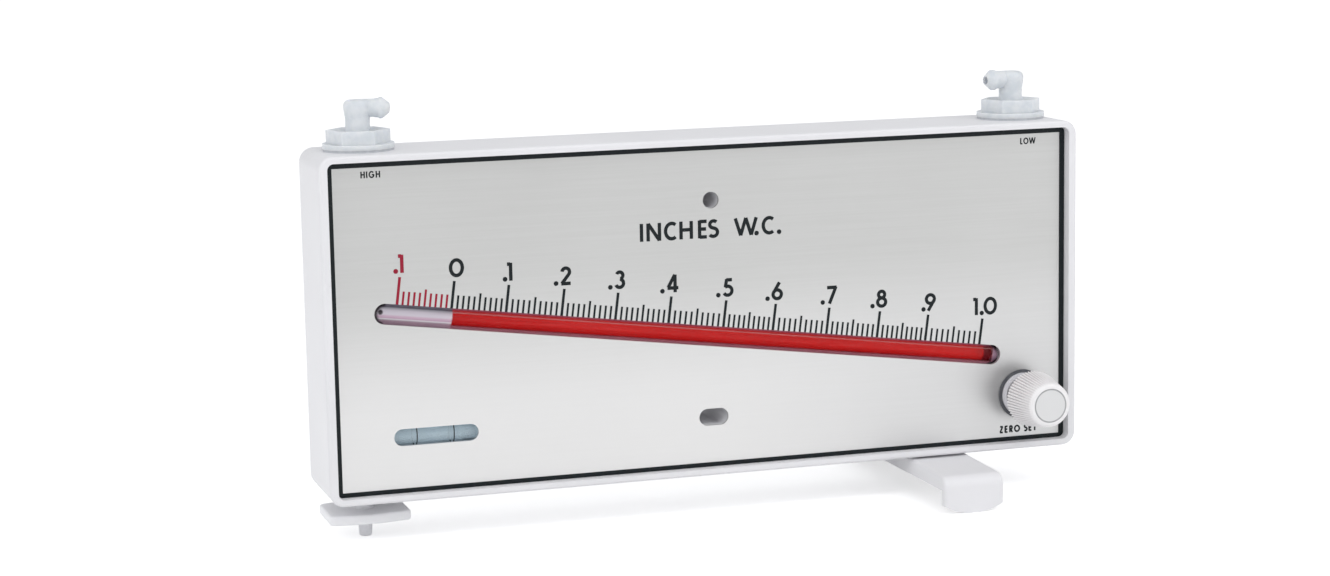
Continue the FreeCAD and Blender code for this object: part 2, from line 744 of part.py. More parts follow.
# Indicating tube with an end seal at either side, its oil up to the zero mark and two saddles
# behind it.
def make_tube():
    long = f"{TUBE_RIGHT} - {TUBE_LEFT}"
    outside = cylinder("tube_outside", "tube_radius", long, TUBE_LEFT, along=ACROSS)
    inside = cylinder("tube_inside", "tube_bore", long, TUBE_LEFT, along=ACROSS)
    return lay_on_tube(cut("indicating_tube", outside, [inside]))


def make_seal(name, start):
    outside = cylinder(name + "_outside", "tube_radius", "seal_thick", start, along=ACROSS)
    inside = cylinder(name + "_inside", "tube_bore", "seal_thick", start, along=ACROSS)
    return lay_on_tube(cut(name, outside, [inside]))


def make_tube_oil():
    long = f"{TUBE_RIGHT} + seal_thick - {OIL_LEFT}"
    thread = cylinder("tube_oil_thread", "tube_bore", long, OIL_LEFT, along=ACROSS)
    hollow = DOC.addObject("Part::Sphere", "meniscus")
    bind(hollow, "Radius", "1.3 * tube_bore")
    place(hollow, f"{OIL_LEFT} - tube_bore")
    return lay_on_tube(cut("tube_oil", thread, [hollow]))


def make_clips():
    clips = []
    for side in ("-", "+"):
        name = f"tube_clip{len(clips)}"
        start = f"0 {side} clip_out - clip_wide / 2"
        corner = (start, f"{TUBE_FLOOR_Y} - clip_deep - {TUBE_Y}", "0 - tube_radius - cover_gap")
        block = box(name + "_block", "clip_wide", "clip_deep", "2 * tube_radius + 2 * cover_gap", *corner)
        seat_start = f"0 {side} clip_out - clip_wide"
        seat = cylinder(name + "_seat", "tube_radius + socket_gap", "2 * clip_wide", seat_start, along=ACROSS)
        clips.append(cut(name, block, [seat]))
    return lay_on_tube(group("tube_clips", clips))


def tube_socket(name, start, end):
    """A cutter for the hole that takes one end of the tube and its seal."""
    hole = cylinder(name + "_hole", "tube_radius + socket_gap", f"{end} - ( {start} )", start, along=ACROSS)
    return lay_on_tube(group(name, [hole]))


def along_tube(distance):
    """Three sums for the point on the tube's axis at a distance from the window's middle."""
    slope = math.radians(size("tilt"))
    across = f"{distance} * {math.cos(slope):.6f} - window_left"
    up = f"{MIDDLE} - window_down - {distance} * {math.sin(slope):.6f}"
    return across, TUBE_Y, up


# Upper port block: a column under the left-hand connector with a foot that holds the tube's end.
def make_port_block():
    column = box(
        "port_column",
        "port_wide",
        "port_deep",
        f"{TOP} - case_wall - {MIDDLE} - port_column_up",
        f"0 - {PORT_X} - port_wide / 2",
        WEB_BACK_Y,
        f"{MIDDLE} + port_column_up",
    )
    foot = box(
        "port_foot",
        "port_foot_wide",
        "port_foot_deep",
        "port_foot_tall",
        f"{PORT_FOOT_X} - port_foot_wide / 2",
        PLATE_BACK_Y,
        f"{MIDDLE} + port_foot_up - port_foot_tall / 2",
    )
    floor = f"{TOP} - case_wall - socket_deep"
    socket = cylinder("port_socket", "bush_thread", "socket_deep", f"0 - {PORT_X}", "0", floor)
    tube_end = f"( {TUBE_LEFT} - seal_thick )"
    tube_hole = tube_socket("port_tube_socket", tube_end, f"0 - {WINDOW_LONG} / 2 + tube_past_window")
    duct = bar_between("port_duct_bore", "port_duct", (f"0 - {PORT_X}", "0", floor), along_tube(tube_end))
    return cut("high_port_block", join("port_blank", [column, foot]), [socket, tube_hole, duct])


# Oil well: an upright bore with a square nose below, which takes the tube, the zero-set plunger
# and its sleeve.
def make_well_block():
    bottom = f"{MIDDLE} - well_bottom_down"
    outer = "well_bore + well_wall"
    tall = "well_bottom_down + well_top_up"
    pillar = cylinder("well_pillar", outer, tall, PORT_X, "well_away", bottom)
    nose = box(
        "well_nose",
        f"2 * ( {outer} )",
        "case_depth - recess_depth - plate_thick - cover_thick - well_nose_gap",
        "well_bottom_down - well_nose_down",
        f"{PORT_X} - ( {outer} )",
        PLATE_BACK_Y,
        bottom,
    )
    sleeve_long = "sleeve_out + 2 * plate_thick"
    sleeve = cylinder("well_sleeve", "sleeve_radius", sleeve_long, ZERO_X, SLEEVE_Y, ZERO_Z, AWAY)
    floor = f"{MIDDLE} - well_floor_down"
    deep = "well_floor_down + well_top_up"
    bore = cylinder("well_hollow", "well_bore", deep, PORT_X, "well_away", floor)
    mouth = cylinder("well_mouth", "sleeve_mouth", "sleeve_mouth_deep", ZERO_X, SLEEVE_Y, ZERO_Z, AWAY)
    thread_long = f"{PLUNGER_SHOULDER} + plunger_travel + 4 * running_gap - {SLEEVE_Y}"
    thread = cylinder(
        "well_thread", "plunger_thread + running_gap", thread_long, ZERO_X, SLEEVE_Y, ZERO_Z, AWAY
    )
    nose_long = f"{PLUNGER_END} + plunger_travel + riser_room - {SLEEVE_Y}"
    barrel = cylinder(
        "well_barrel", "plunger_nose + running_gap", nose_long, ZERO_X, SLEEVE_Y, ZERO_Z, AWAY
    )
    riser = cylinder("well_riser", "riser_radius", f"{floor} - {ZERO_Z}", ZERO_X, RISER_Y, ZERO_Z)
    tube_end = f"( {TUBE_RIGHT} + seal_thick )"
    tube_hole = tube_socket("well_tube_socket", f"{WINDOW_LONG} / 2 - tube_past_window", tube_end)
    well_axis = (PORT_X, "well_away", along_tube(tube_end)[2])
    duct = bar_between("well_duct", "port_duct", along_tube(tube_end), well_axis)
    blank = join("well_blank", [pillar, nose, sleeve])
    return cut("well_block", blank, [bore, mouth, thread, barrel, riser, tube_hole, duct])


def make_well_oil():
    floor = f"{MIDDLE} - well_floor_down"
    deep = "well_floor_down + well_level_up"
    pool = cylinder("well_oil_pool", "well_bore", deep, PORT_X, "well_away", floor)
    barrel_top = f"( {ZERO_Z} + plunger_nose )"
    riser = cylinder(
        "well_oil_riser", "riser_radius", f"{floor} - {barrel_top}", ZERO_X, RISER_Y, barrel_top
    )
    tube_end = f"( {TUBE_RIGHT} + seal_thick )"
    well_axis = (PORT_X, "well_away", along_tube(tube_end)[2])
    duct = bar_between("well_oil_duct", "port_duct", along_tube(tube_end), well_axis)
    socket = tube_socket("well_oil_end", f"{WINDOW_LONG} / 2 - tube_past_window", tube_end)
    return cut("well_oil", join("well_oil_blank", [pool, riser, duct]), [socket])


def make_well_cap():
    disc_up = f"{MIDDLE} + well_top_up"
    ceiling = f"{TOP} - case_wall"
    disc = cylinder("cap_disc", "well_bore + well_wall", "cap_thick", PORT_X, "well_away", disc_up)
    spigot = cylinder(
        "cap_spigot",
        "well_bore - running_gap",
        "spigot_deep + running_gap",
        PORT_X,
        "well_away",
        f"{disc_up} - spigot_deep",
    )
    neck = cylinder("cap_neck_bar", "cap_neck", f"{ceiling} - ( {disc_up} )", PORT_X, "0", disc_up)
    socket_floor = f"{ceiling} - socket_deep"
    socket = cylinder("cap_socket", "bush_thread", "socket_deep", PORT_X, "0", socket_floor)
    duct_floor = f"( {disc_up} - spigot_deep )"
    duct = cylinder("cap_duct", "port_duct", f"{ceiling} - {duct_floor}", PORT_X, "0", duct_floor)
    return cut("well_cap", join("cap_blank", [disc, spigot, neck]), [socket, duct])


# Spirit level: a vial with one open end, its plug, its liquid with a bubble, and a saddle behind.
def make_vial():
    start = f"{LEVEL_X} - vial_length / 2"
    outside = cylinder("vial_outside", "vial_radius", "vial_length", start, VIAL_Y, VIAL_Z, ACROSS)
    inside = cylinder(
        "vial_inside",
        "vial_bore",
        "vial_length - vial_floor",
        f"{start} + vial_floor",
        VIAL_Y,
        VIAL_Z,
        ACROSS,
    )
    return cut("vial", outside, [inside])


def make_vial_liquid():
    start = f"{LEVEL_X} - vial_length / 2 + vial_floor"
    long = "vial_length - vial_floor - plug_long"
    liquid = cylinder("vial_liquid_bar", "vial_bore", long, start, VIAL_Y, VIAL_Z, ACROSS)
    bubble = DOC.addObject("Part::Ellipsoid", "vial_bubble")
    bind(bubble, "Radius1", "bubble_deep")
    bind(bubble, "Radius2", "bubble_long / 2")
    bind(bubble, "Radius3", "bubble_wide / 2")
    place(bubble, LEVEL_X, VIAL_Y, f"{VIAL_Z} + vial_bore")
    return cut("vial_liquid", liquid, [bubble])


def make_vial_plug():
    start = f"{LEVEL_X} + vial_length / 2 - plug_long"
    plug = cylinder("vial_plug", "vial_bore", "plug_long", start, VIAL_Y, VIAL_Z, ACROSS)
    return plug


def make_saddle():
    corner = (
        f"{LEVEL_X} - saddle_wide / 2",
        f"{VIAL_FLOOR_Y} - saddle_deep",
        f"{VIAL_Z} - vial_radius - cover_gap",
    )
    tall = "2 * vial_radius + 2 * cover_gap"
    block = box("saddle_block", "saddle_wide", "saddle_deep", tall, *corner)
    start = f"{LEVEL_X} - saddle_wide"
    seat = cylinder(
        "saddle_seat", "vial_radius + socket_gap", "2 * saddle_wide", start, VIAL_Y, VIAL_Z, ACROSS
    )
    return cut("vial_saddle", block, [seat])


# Zero-set knob: the ring in the plate's hole, the fluted knob with its cap, and the screwed plunger
# with its O-ring.
def make_zero_ring():
    start = f"{PLATE_BACK_Y} - ring_thick"
    outside = cylinder("zero_ring_outside", "zero_ring_radius", "ring_thick", ZERO_X, start, ZERO_Z, AWAY)
    inside = cylinder("zero_ring_inside", "sleeve_radius", "ring_thick", ZERO_X, start, ZERO_Z, AWAY)
    return cut("zero_ring", outside, [inside])


def make_knob():
    knob = new_body("knob")
    skirt = f"( {KNOB_BACK} - knob_skirt_deep )"
    cap_seat = f"{KNOB_FRONT} + knob_cap_thick"
    stem_end = f"{cap_seat} + knob_end_wall"
    taper = "( knob_back - knob_front ) / knob_long"
    skirt_wall = f"knob_back - knob_wall - knob_skirt_deep * {taper}"
    profile = outline(
        new_sketch(knob, "XY_Plane"),
        [
            ("plunger_stem", KNOB_BACK),
            ("knob_hub", KNOB_BACK),
            ("knob_hub", skirt),
            (skirt_wall, skirt),
            ("knob_back - knob_wall", KNOB_BACK),
            ("knob_back", KNOB_BACK),
            ("knob_front", KNOB_FRONT),
            ("knob_cap_radius + knob_cap_gap", KNOB_FRONT),
            ("knob_cap_radius + knob_cap_gap", cap_seat),
            ("0", cap_seat),
            ("0", stem_end),
            ("plunger_stem", stem_end),
        ],
    )
    revolve(knob, profile)
    rim = size("knob_front")
    fillet(
        knob,
        "knob_front_round",
        lambda edge: edge.Curve.TypeId == "Part::GeomCircle" and abs(edge.Curve.Radius - rim) < 1e-6,
    )
    # One tapered V-shaped flute, repeated round the side.
    ends = []
    flute_ends = (("knob_back", KNOB_BACK, "flute_deep"), ("knob_front", KNOB_FRONT, "flute_end_deep"))
    for radius, away, deep in flute_ends:
        flute = new_sketch(knob, "XZ_Plane", f"0 - {away}")
        half = f"3.1416 * {radius} / flute_count"
        top = f"{radius} + flute_deep"
        outline(flute, [(f"0 - 2 * {half}", top), ("0", f"{radius} - {deep}"), (f"2 * {half}", top)])
        ends.append(flute)
    flute = knob.newObject("PartDesign::SubtractiveLoft", "knob_flute")
    flute.Profile = ends[0]
    flute.Sections = [ends[1]]
    flute.Ruled = True
    finish_feature(knob, flute)
    ring = knob.newObject("PartDesign::PolarPattern", "knob_flutes")
    ring.Originals = [flute]
    ring.Axis = (profile, ["V_Axis"])
    ring.Angle = 360
    bind(ring, "Occurrences", "flute_count")
    finish_feature(knob, ring)
    return place(knob, ZERO_X, "0", ZERO_Z)


def make_knob_cap():
    return cylinder("knob_cap", "knob_cap_radius", "knob_cap_thick", ZERO_X, KNOB_FRONT, ZERO_Z, AWAY)


def make_plunger():
    plunger = new_body("plunger")
    stem = f"{KNOB_FRONT} + knob_cap_thick + knob_end_wall + running_gap"
    ring_y = f"{PLUNGER_END} - plunger_ring_back"
    floor = "plunger_nose + ring_proud - 2 * ring_section"
    wide = "( ring_section + running_gap )"
    profile = outline(
        new_sketch(plunger, "XY_Plane"),
        [
            ("0", stem),
            ("plunger_stem", stem),
            ("plunger_stem", KNOB_BACK),
            ("plunger_thread", KNOB_BACK),
            ("plunger_thread", PLUNGER_SHOULDER),
            ("plunger_nose", PLUNGER_SHOULDER),
            ("plunger_nose", f"{ring_y} - {wide}"),
            (floor, f"{ring_y} - {wide}"),
            (floor, f"{ring_y} + {wide}"),
            ("plunger_nose", f"{ring_y} + {wide}"),
            ("plunger_nose", PLUNGER_END),
            ("0", PLUNGER_END),
        ],
    )
    revolve(plunger, profile)
    return place(plunger, ZERO_X, "0", ZERO_Z)


def make_plunger_ring():
    ring_y = f"{PLUNGER_END} - plunger_ring_back"
    middle = "plunger_nose + ring_proud - ring_section"
    return torus("plunger_ring", middle, "ring_section", ZERO_X, ring_y, ZERO_Z, AWAY)


# Tubing connectors, twice: a gasket, a hexagonal bushing, a swivelling elbow with a barb, and its
# O-ring.
def make_gasket(name, side):
    outside = cylinder(name + "_disc", "gasket_radius", "gasket_thick", f"0 {side} {PORT_X}", "0", TOP)
    inside = cylinder(name + "_hole", "bush_thread", "gasket_thick", f"0 {side} {PORT_X}", "0", TOP)
    return cut(name, outside, [inside])


def make_bushing(name, side, nut_turn):
    seat = f"( {TOP} + gasket_thick )"
    shank = cylinder(name + "_shank", "bush_thread", "bush_long", up=f"{seat} - bush_long")
    flange = cylinder(name + "_flange", "flange_radius", "flange_thick", up=seat)
    nut = DOC.addObject("Part::Prism", name + "_nut")
    nut.Polygon = 6
    bind(nut, "Circumradius", "hex_flats / 1.732051")
    bind(nut, "Height", "hex_high")
    place(nut, up=f"{seat} + flange_thick")
    dish = cone(name + "_dish", "dish_floor", "dish_rim", "hex_dish", up=f"{NUT_TOP} - hex_dish")
    stem_end = f"{NUT_TOP} - hex_dish - elbow_stem_long - running_gap"
    bore = cylinder(name + "_bore", "elbow_stem + running_gap", "elbow_stem_long + hex_dish", up=stem_end)
    duct = cylinder(name + "_duct", "port_duct", "bush_long", up=f"{seat} - bush_long")
    bushing = cut(name, join(name + "_blank", [shank, flange, nut]), [dish, bore, duct])
    return place(turn(bushing, UP, nut_turn), f"0 {side} {PORT_X}")


def make_elbow(name, side, elbow_turn):
    upright = new_body(name + "_upright")
    bottom = f"( {NUT_TOP} - hex_dish - elbow_stem_long )"
    top = f"{NUT_TOP} + elbow_rise"
    ring_up = f"{bottom} + elbow_ring_up"
    floor = "elbow_stem + ring_proud - 2 * ring_section"
    wide = "( ring_section + running_gap )"
    profile = outline(
        new_sketch(upright, "XZ_Plane"),
        [
            ("0", bottom),
            ("elbow_stem", bottom),
            ("elbow_stem", f"{ring_up} - {wide}"),
            (floor, f"{ring_up} - {wide}"),
            (floor, f"{ring_up} + {wide}"),
            ("elbow_stem", f"{ring_up} + {wide}"),
            ("elbow_stem", f"{NUT_TOP} + elbow_neck"),
            ("elbow_head", BARB_Z),
            ("elbow_head", top),
            ("0", top),
        ],
    )
    revolve(upright, profile)
    crown = value(top)
    fillet(
        upright,
        "elbow_head_round",
        lambda edge: edge.Curve.TypeId == "Part::GeomCircle" and abs(edge.Curve.Center.z - crown) < 1e-6,
    )
    ring_end = "barb_ring_out + barb_ring_long"
    shank = cylinder(name + "_shank", "barb_shank", ring_end, up=BARB_Z, along=ACROSS)
    ring = cylinder(name + "_land", "barb_ring", "barb_ring_long", "barb_ring_out", "0", BARB_Z, ACROSS)
    flare_start = "barb_ring_out - barb_flare_long"
    flare = cone(
        name + "_flare", "barb_shank", "barb_flare", "barb_flare_long", flare_start, "0", BARB_Z, ACROSS
    )
    blunt = "( barb_cone - barb_nose )"
    tip = cone(name + "_tip", "barb_ring", "barb_tip", blunt, ring_end, "0", BARB_Z, ACROSS)
    nose_start = f"{ring_end} + {blunt}"
    nose = cone(
        name + "_nose", "barb_tip", "barb_tip - barb_nose", "barb_nose", nose_start, "0", BARB_Z, ACROSS
    )
    bore = cylinder(name + "_bore", "elbow_bore", f"{ring_end} + barb_cone", up=BARB_Z, along=ACROSS)
    down = cylinder(name + "_down", "elbow_bore", f"{BARB_Z} - {bottom}", up=bottom)
    elbow = cut(name, join(name + "_blank", [upright, shank, flare, ring, tip, nose]), [bore, down])
    return place(turn(elbow, UP, elbow_turn), f"0 {side} {PORT_X}")


def make_elbow_ring(name, side):
    ring_up = f"{NUT_TOP} - hex_dish - elbow_stem_long + elbow_ring_up"
    middle = "elbow_stem + ring_proud - ring_section"
    return torus(name, middle, "ring_section", f"0 {side} {PORT_X}", "0", ring_up)


# Levelling screw under the left end: a bush in the case, a screw with a finger plate, and a tip
# that rests on the table.
def make_level_bush():
    bush = new_body("levelling_bush")
    bore = "screw_radius + running_gap"
    profile = outline(
        new_sketch(bush, "XZ_Plane"),
        [
            (bore, "case_base - bush_flange_thick"),
            ("bush_flange", "case_base - bush_flange_thick"),
            ("bush_flange", "case_base"),
            ("bush_radius", "case_base"),
            ("bush_radius", "case_base + bush_tall"),
            (bore, "case_base + bush_tall"),
        ],
    )
    revolve(bush, profile)
    return place(bush, LEVEL_SCREW_X)


def make_level_screw():
    screw = new_body("levelling_screw")
    plate = new_sketch(screw, "XY_Plane", "finger_up")
    pad(screw, bowed(plate, "finger_width", "finger_depth", "finger_bulge"), "finger_thick")
    fillet(screw, "finger_corner", lambda edge: runs_along(edge, UP))
    fillet(screw, "finger_round", lambda edge: not runs_along(edge, UP))
    stem = new_sketch(screw, "XY_Plane", "finger_up + finger_thick")
    pad(screw, circle(stem, "screw_radius"), "screw_long")
    socket = new_sketch(screw, "XY_Plane", "finger_up")
    pocket(screw, circle(socket, "tip_radius + running_gap"), "tip_socket + running_gap", back=True)
    return place(screw, LEVEL_SCREW_X)


def make_level_tip():
    tip = new_body("levelling_tip")
    top = "finger_up + tip_socket"
    corners = [("0", "0"), ("tip_low", "0"), ("tip_radius", "finger_up"), ("tip_radius", top), ("0", top)]
    revolve(tip, outline(new_sketch(tip, "XZ_Plane"), corners))
    fillet(tip, "tip_low - tip_flat", lambda edge: abs(edge.BoundBox.ZMax) < 1e-4)
    return place(tip, LEVEL_SCREW_X)


# Right-hand foot: a channel across the case from front to back, with a lip at either end that
# rests on the table.
def make_foot():
    foot = new_body("right_foot")
    top = "case_base - foot_drop"
    low = f"{top} - foot_slope"
    hem = f"{top} - foot_flange"
    inner = "foot_reach - foot_lip"
    side_view = new_sketch(foot, "YZ_Plane")
    outline(
        side_view,
        [
            ("0 - foot_reach", "0"),
            (f"0 - ( {inner} )", "0"),
            (f"0 - ( {inner} )", hem),
            (inner, hem),
            (inner, "0"),
            ("foot_reach", "0"),
            ("foot_reach", low),
            ("foot_pad_long / 2", top),
            ("0 - foot_pad_long / 2", top),
            ("0 - foot_reach", low),
        ],
    )
    pad(foot, side_view, "foot_width", both=True)
    bend = value(low)
    fillet(
        foot,
        "foot_bend",
        lambda edge: runs_along(edge, ACROSS) and abs(edge.CenterOfMass.z - bend) < 1e-4,
    )
    side, hem_up = size("foot_width") / 2, value(hem)
    far = value(inner)
    fillet(
        foot,
        "foot_edge_round",
        lambda edge: abs(abs(edge.CenterOfMass.x) - side) < 1e-4
        and not runs_along(edge, ACROSS)
        and edge.BoundBox.YLength + edge.BoundBox.ZLength > 1e-4
        and (edge.CenterOfMass.z > hem_up + 1e-3 or abs(edge.CenterOfMass.y) > far + 2),
    )
    hollow = new_sketch(foot, "YZ_Plane")
    web = f"{top} - foot_web"
    outline(
        hollow,
        [
            (f"0 - ( {inner} )", "0"),
            (inner, "0"),
            (inner, f"{web} - foot_slope"),
            ("foot_pad_long / 2", web),
            ("0 - foot_pad_long / 2", web),
            (f"0 - ( {inner} )", f"{web} - foot_slope"),
        ],
    )
    hollow_cut = foot.newObject("PartDesign::Pocket", "foot_hollow")
    hollow_cut.Profile = hollow
    hollow_cut.Midplane = True
    bind(hollow_cut, "Length", "foot_width - 2 * foot_wall")
    finish_feature(foot, hollow_cut)

    # The lips' ends rise from a flat land to the sides.
    for side in ("-", "+"):
        rise = new_sketch(foot, "XZ_Plane")
        corners = [
            ("foot_land", "0 - foot_lip"),
            ("foot_land", "0"),
            ("foot_curve_out", "foot_curve_up"),
            ("foot_width / 2", "foot_corner_up"),
            ("foot_width / 2 + foot_lip", "foot_corner_up"),
            ("foot_width / 2 + foot_lip", "0 - foot_lip"),
        ]
        outline(rise, [(f"0 {side} ( {across} )", up) for across, up in corners])
        pocket(foot, rise)

    # A raised pad that bears on the case, and the two screw holes.
    raised = new_sketch(foot, "XY_Plane", top)
    pad(foot, rectangle(raised, "foot_width - 2 * foot_wall", "foot_pad_long"), "foot_drop")
    holes = new_sketch(foot, "XY_Plane")
    for side in ("-", "+"):
        circle(holes, "fastener_shank", "0", f"0 {side} foot_screw_out")
    pocket(foot, holes)
    return place(foot, FOOT_X)


def make_foot_screws():
    seat = "case_base - foot_drop - foot_web"
    screws = []
    for side in ("-", "+"):
        away = f"0 {side} foot_screw_out"
        screws.append(make_screw(f"foot_screw{len(screws)}", FOOT_X, away, seat, UP))
    return group("foot_screws", screws)


NODES = {
    "case_shell": make_case(),
    "back_cover": make_cover(),
    "cover_screws": make_cover_screws(),
    "scale_plate": make_plate(),
    "indicating_tube": make_tube(),
    "tube_seal_upper": make_seal("tube_seal_upper", f"{TUBE_LEFT} - seal_thick"),
    "tube_seal_lower": make_seal("tube_seal_lower", TUBE_RIGHT),
    "tube_oil": make_tube_oil(),
    "tube_clips": make_clips(),
    "high_port_block": make_port_block(),
    "well_block": make_well_block(),
    "well_cap": make_well_cap(),
    "well_oil": make_well_oil(),
    "vial": make_vial(),
    "vial_liquid": make_vial_liquid(),
    "vial_plug": make_vial_plug(),
    "vial_saddle": make_saddle(),
    "zero_ring": make_zero_ring(),
    "plunger": make_plunger(),
    "plunger_ring": make_plunger_ring(),
    "knob": make_knob(),
    "knob_cap": make_knob_cap(),
    "high_gasket": make_gasket("high_gasket", "-"),
    "high_bushing": make_bushing("high_bushing", "-", "high_nut_turn"),
    "high_elbow": make_elbow("high_elbow", "-", "0 - high_elbow_turn"),
    "high_elbow_ring": make_elbow_ring("high_elbow_ring", "-"),
    "low_gasket": make_gasket("low_gasket", "+"),
    "low_bushing": make_bushing("low_bushing", "+", "low_nut_turn"),
    "low_elbow": make_elbow("low_elbow", "+", "180 + low_elbow_turn"),
    "low_elbow_ring": make_elbow_ring("low_elbow_ring", "+"),
    "levelling_bush": make_level_bush(),
    "levelling_screw": make_level_screw(),
    "levelling_tip": make_level_tip(),
    "right_foot": make_foot(),
    "foot_screws": make_foot_screws(),
}
for label, piece in NODES.items():
    piece.Label = label
DOC.recompute()

# Every object has to be sound before the pieces are written.
for thing in DOC.Objects:
    if "Invalid" in thing.State or "Error" in thing.State:
        raise RuntimeError(f"{thing.Name} is {thing.State}")
for label, piece in NODES.items():
    if piece.Shape.isNull() or not piece.Shape.isValid():
        raise RuntimeError(f"{label} has no sound shape")

os.makedirs("parts", exist_ok=True)
for label, piece in NODES.items():
    piece.Shape.exportStep(f"parts/{label}.step")
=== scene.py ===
import math

import bmesh
import bpy
from mathutils import Matrix, Vector


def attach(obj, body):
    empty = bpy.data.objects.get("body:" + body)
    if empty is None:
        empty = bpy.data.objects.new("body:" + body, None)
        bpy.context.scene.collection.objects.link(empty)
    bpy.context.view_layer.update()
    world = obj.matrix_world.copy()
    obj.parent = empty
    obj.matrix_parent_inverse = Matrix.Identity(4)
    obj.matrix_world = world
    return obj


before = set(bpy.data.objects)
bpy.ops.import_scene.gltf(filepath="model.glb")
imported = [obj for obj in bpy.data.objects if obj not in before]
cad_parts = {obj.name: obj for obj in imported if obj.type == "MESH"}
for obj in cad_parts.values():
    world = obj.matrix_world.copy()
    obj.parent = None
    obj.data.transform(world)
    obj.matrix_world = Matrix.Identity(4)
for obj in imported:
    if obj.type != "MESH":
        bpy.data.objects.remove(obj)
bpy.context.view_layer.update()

# The case is one white moulding with a bead round its face. Its plastic is satin, with the fine
# grain of the mould and a slight cool cast.
class Wire:
    """One output of a material's node, so that sums on values can be written as expressions."""

    def __init__(self, tree, socket=None):
        self.tree = tree
        self.socket = socket

    def node(self, kind, settings=None, sockets=None, out=0):
        """Adds a node: its settings first, then the values or wires of its sockets."""
        made = self.tree.nodes.new("ShaderNode" + kind)
        for name, value in (settings or {}).items():
            if name == "stops":
                ramp = made.color_ramp.elements
                ramp[0].position, ramp[0].color = value[0]
                ramp[-1].position, ramp[-1].color = value[-1]
                for position, colour in value[1:-1]:
                    ramp.new(position).color = colour
            else:
                setattr(made, name, value)
        for name, value in (sockets or {}).items():
            if isinstance(value, Wire):
                self.tree.links.new(value.socket, made.inputs[name])
            else:
                made.inputs[name].default_value = value
        return Wire(self.tree, made.outputs[out]) if len(made.outputs) else None

    def maths(self, operation, first, second=0.0):
        return self.node("Math", {"operation": operation}, {0: first, 1: second})

    def __add__(self, other):
        return self.maths("ADD", self, other)

    __radd__ = __add__

    def __sub__(self, other):
        return self.maths("SUBTRACT", self, other)

    def __rsub__(self, other):
        return self.maths("SUBTRACT", other, self)

    def __mul__(self, other):
        return self.maths("MULTIPLY", self, other)

    __rmul__ = __mul__

    def between(self, low, high):
        """Rises smoothly from 0 at low to 1 at high."""
        places = {"Value": self, "From Min": low, "From Max": high}
        return self.node("MapRange", {"interpolation_type": "SMOOTHSTEP"}, places)

    def blend(self, colour, other):
        """The first colour where this is 0 and the other where it is 1."""
        mixed = {0: self, 6: colour, 7: other}
        return self.node("Mix", {"data_type": "RGBA"}, mixed, out=2)

    def ramp(self, stops, out="Color"):
        """The colour that a list of stops gives for this value, or its share, the alpha."""
        return self.node("ValToRGB", {"stops": stops}, {"Fac": self}, out)

    def speckle(self, size, detail=3.0, stretch=(1.0, 1.0, 1.0)):
        """Even noise whose grains are about so many metres across."""
        place = self.node("Mapping", {}, {"Vector": self, "Scale": stretch})
        return self.node("TexNoise", {}, {"Vector": place, "Scale": 1.0 / size, "Detail": detail})

    def relief(self, height):
        """The surface's normal over bumps of this wire's height, in metres."""
        return self.node("Bump", {}, {"Height": self, "Distance": height, "Strength": 1.0})


def finish(name, surface):
    """A material whose surface is what the given function makes from the object's coordinates."""
    material = bpy.data.materials.new(name)
    material.use_nodes = True
    material.node_tree.nodes.clear()
    start = Wire(material.node_tree)
    shader = surface(start.node("TexCoord", out="Object"))
    start.node("OutputMaterial", {}, {"Surface": shader})
    return material


def paint(material, *names):
    """Gives the carried-over nodes one finish."""
    for name in names:
        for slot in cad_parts[name].material_slots:
            slot.material = material


def white_moulding(place):
    cloud = place.speckle(0.03, 2.0).between(0.3, 0.7)
    grain = place.speckle(0.0004, 2.0)
    return place.node("BsdfPrincipled", {}, {
        "Base Color": cloud.blend((0.80, 0.797, 0.815, 1), (0.825, 0.82, 0.84, 1)),
        "Roughness": cloud * 0.08 + 0.38,
        "Normal": grain.relief(0.000012),
    })


white_case = finish("white_case", white_moulding)
paint(white_case, "case_shell", "back_cover", "tube_clips", "vial_saddle")

# Four steel screws close the back cover and two hold the foot. They are zinc plated, with
# the fine rings that turning leaves.
def zinc_plate(place):
    patch = place.speckle(0.0012, 3.0).between(0.35, 0.65)
    return place.node("BsdfPrincipled", {}, {
        "Base Color": patch.blend((0.52, 0.53, 0.55, 1), (0.66, 0.66, 0.67, 1)),
        "Metallic": 1.0,
        "Roughness": patch * 0.15 + 0.25,
        "Normal": place.speckle(0.0003).relief(0.000008),
    })


zinc = finish("zinc_screws", zinc_plate)
paint(zinc, "cover_screws", "foot_screws")

# The scale plate is thin aluminium with a fine level brushing under a clear coat. Its colour is
# painted darker towards the top, a painted reflection of less white table, and at the lower
# right, a painted shade near the knob.
MIDDLE = 0.06645
PLATE_FACE = -0.0135
PAINTED_TOP_REFLECTION = (0.035, 0.085)
PAINTED_RIGHT_SHADE = (-0.02, 0.115)


def brushed_silver(place):
    up = place.node("SeparateXYZ", {}, {"Vector": place}, out="Z")
    streak = place.speckle(0.0006, 4.0, (0.02, 1.0, 1.0)).between(0.2, 0.8)
    cloud = place.speckle(0.05, 2.0).between(0.3, 0.7)
    across = place.node("SeparateXYZ", {}, {"Vector": place}, out="X")
    # Painted reflection darkens the top, and painted shade darkens the lower right, near the
    # knob.
    lower = 1.0 - up.between(*PAINTED_TOP_REFLECTION)
    tone = lower.blend((0.525, 0.525, 0.515, 1), (0.70, 0.695, 0.69, 1))
    tone = (across.between(*PAINTED_RIGHT_SHADE) * lower * 0.8).blend(tone, (0.56, 0.56, 0.56, 1))
    tone = (streak * 0.10 + cloud * 0.05).blend(tone, (0.80, 0.80, 0.80, 1))
    return place.node("BsdfPrincipled", {}, {
        "Base Color": tone,
        "Metallic": 0.75,
        "Roughness": streak * 0.06 + 0.34,
        "Normal": streak.relief(0.000004),
    })


paint(finish("plate_silver", brushed_silver), "scale_plate")

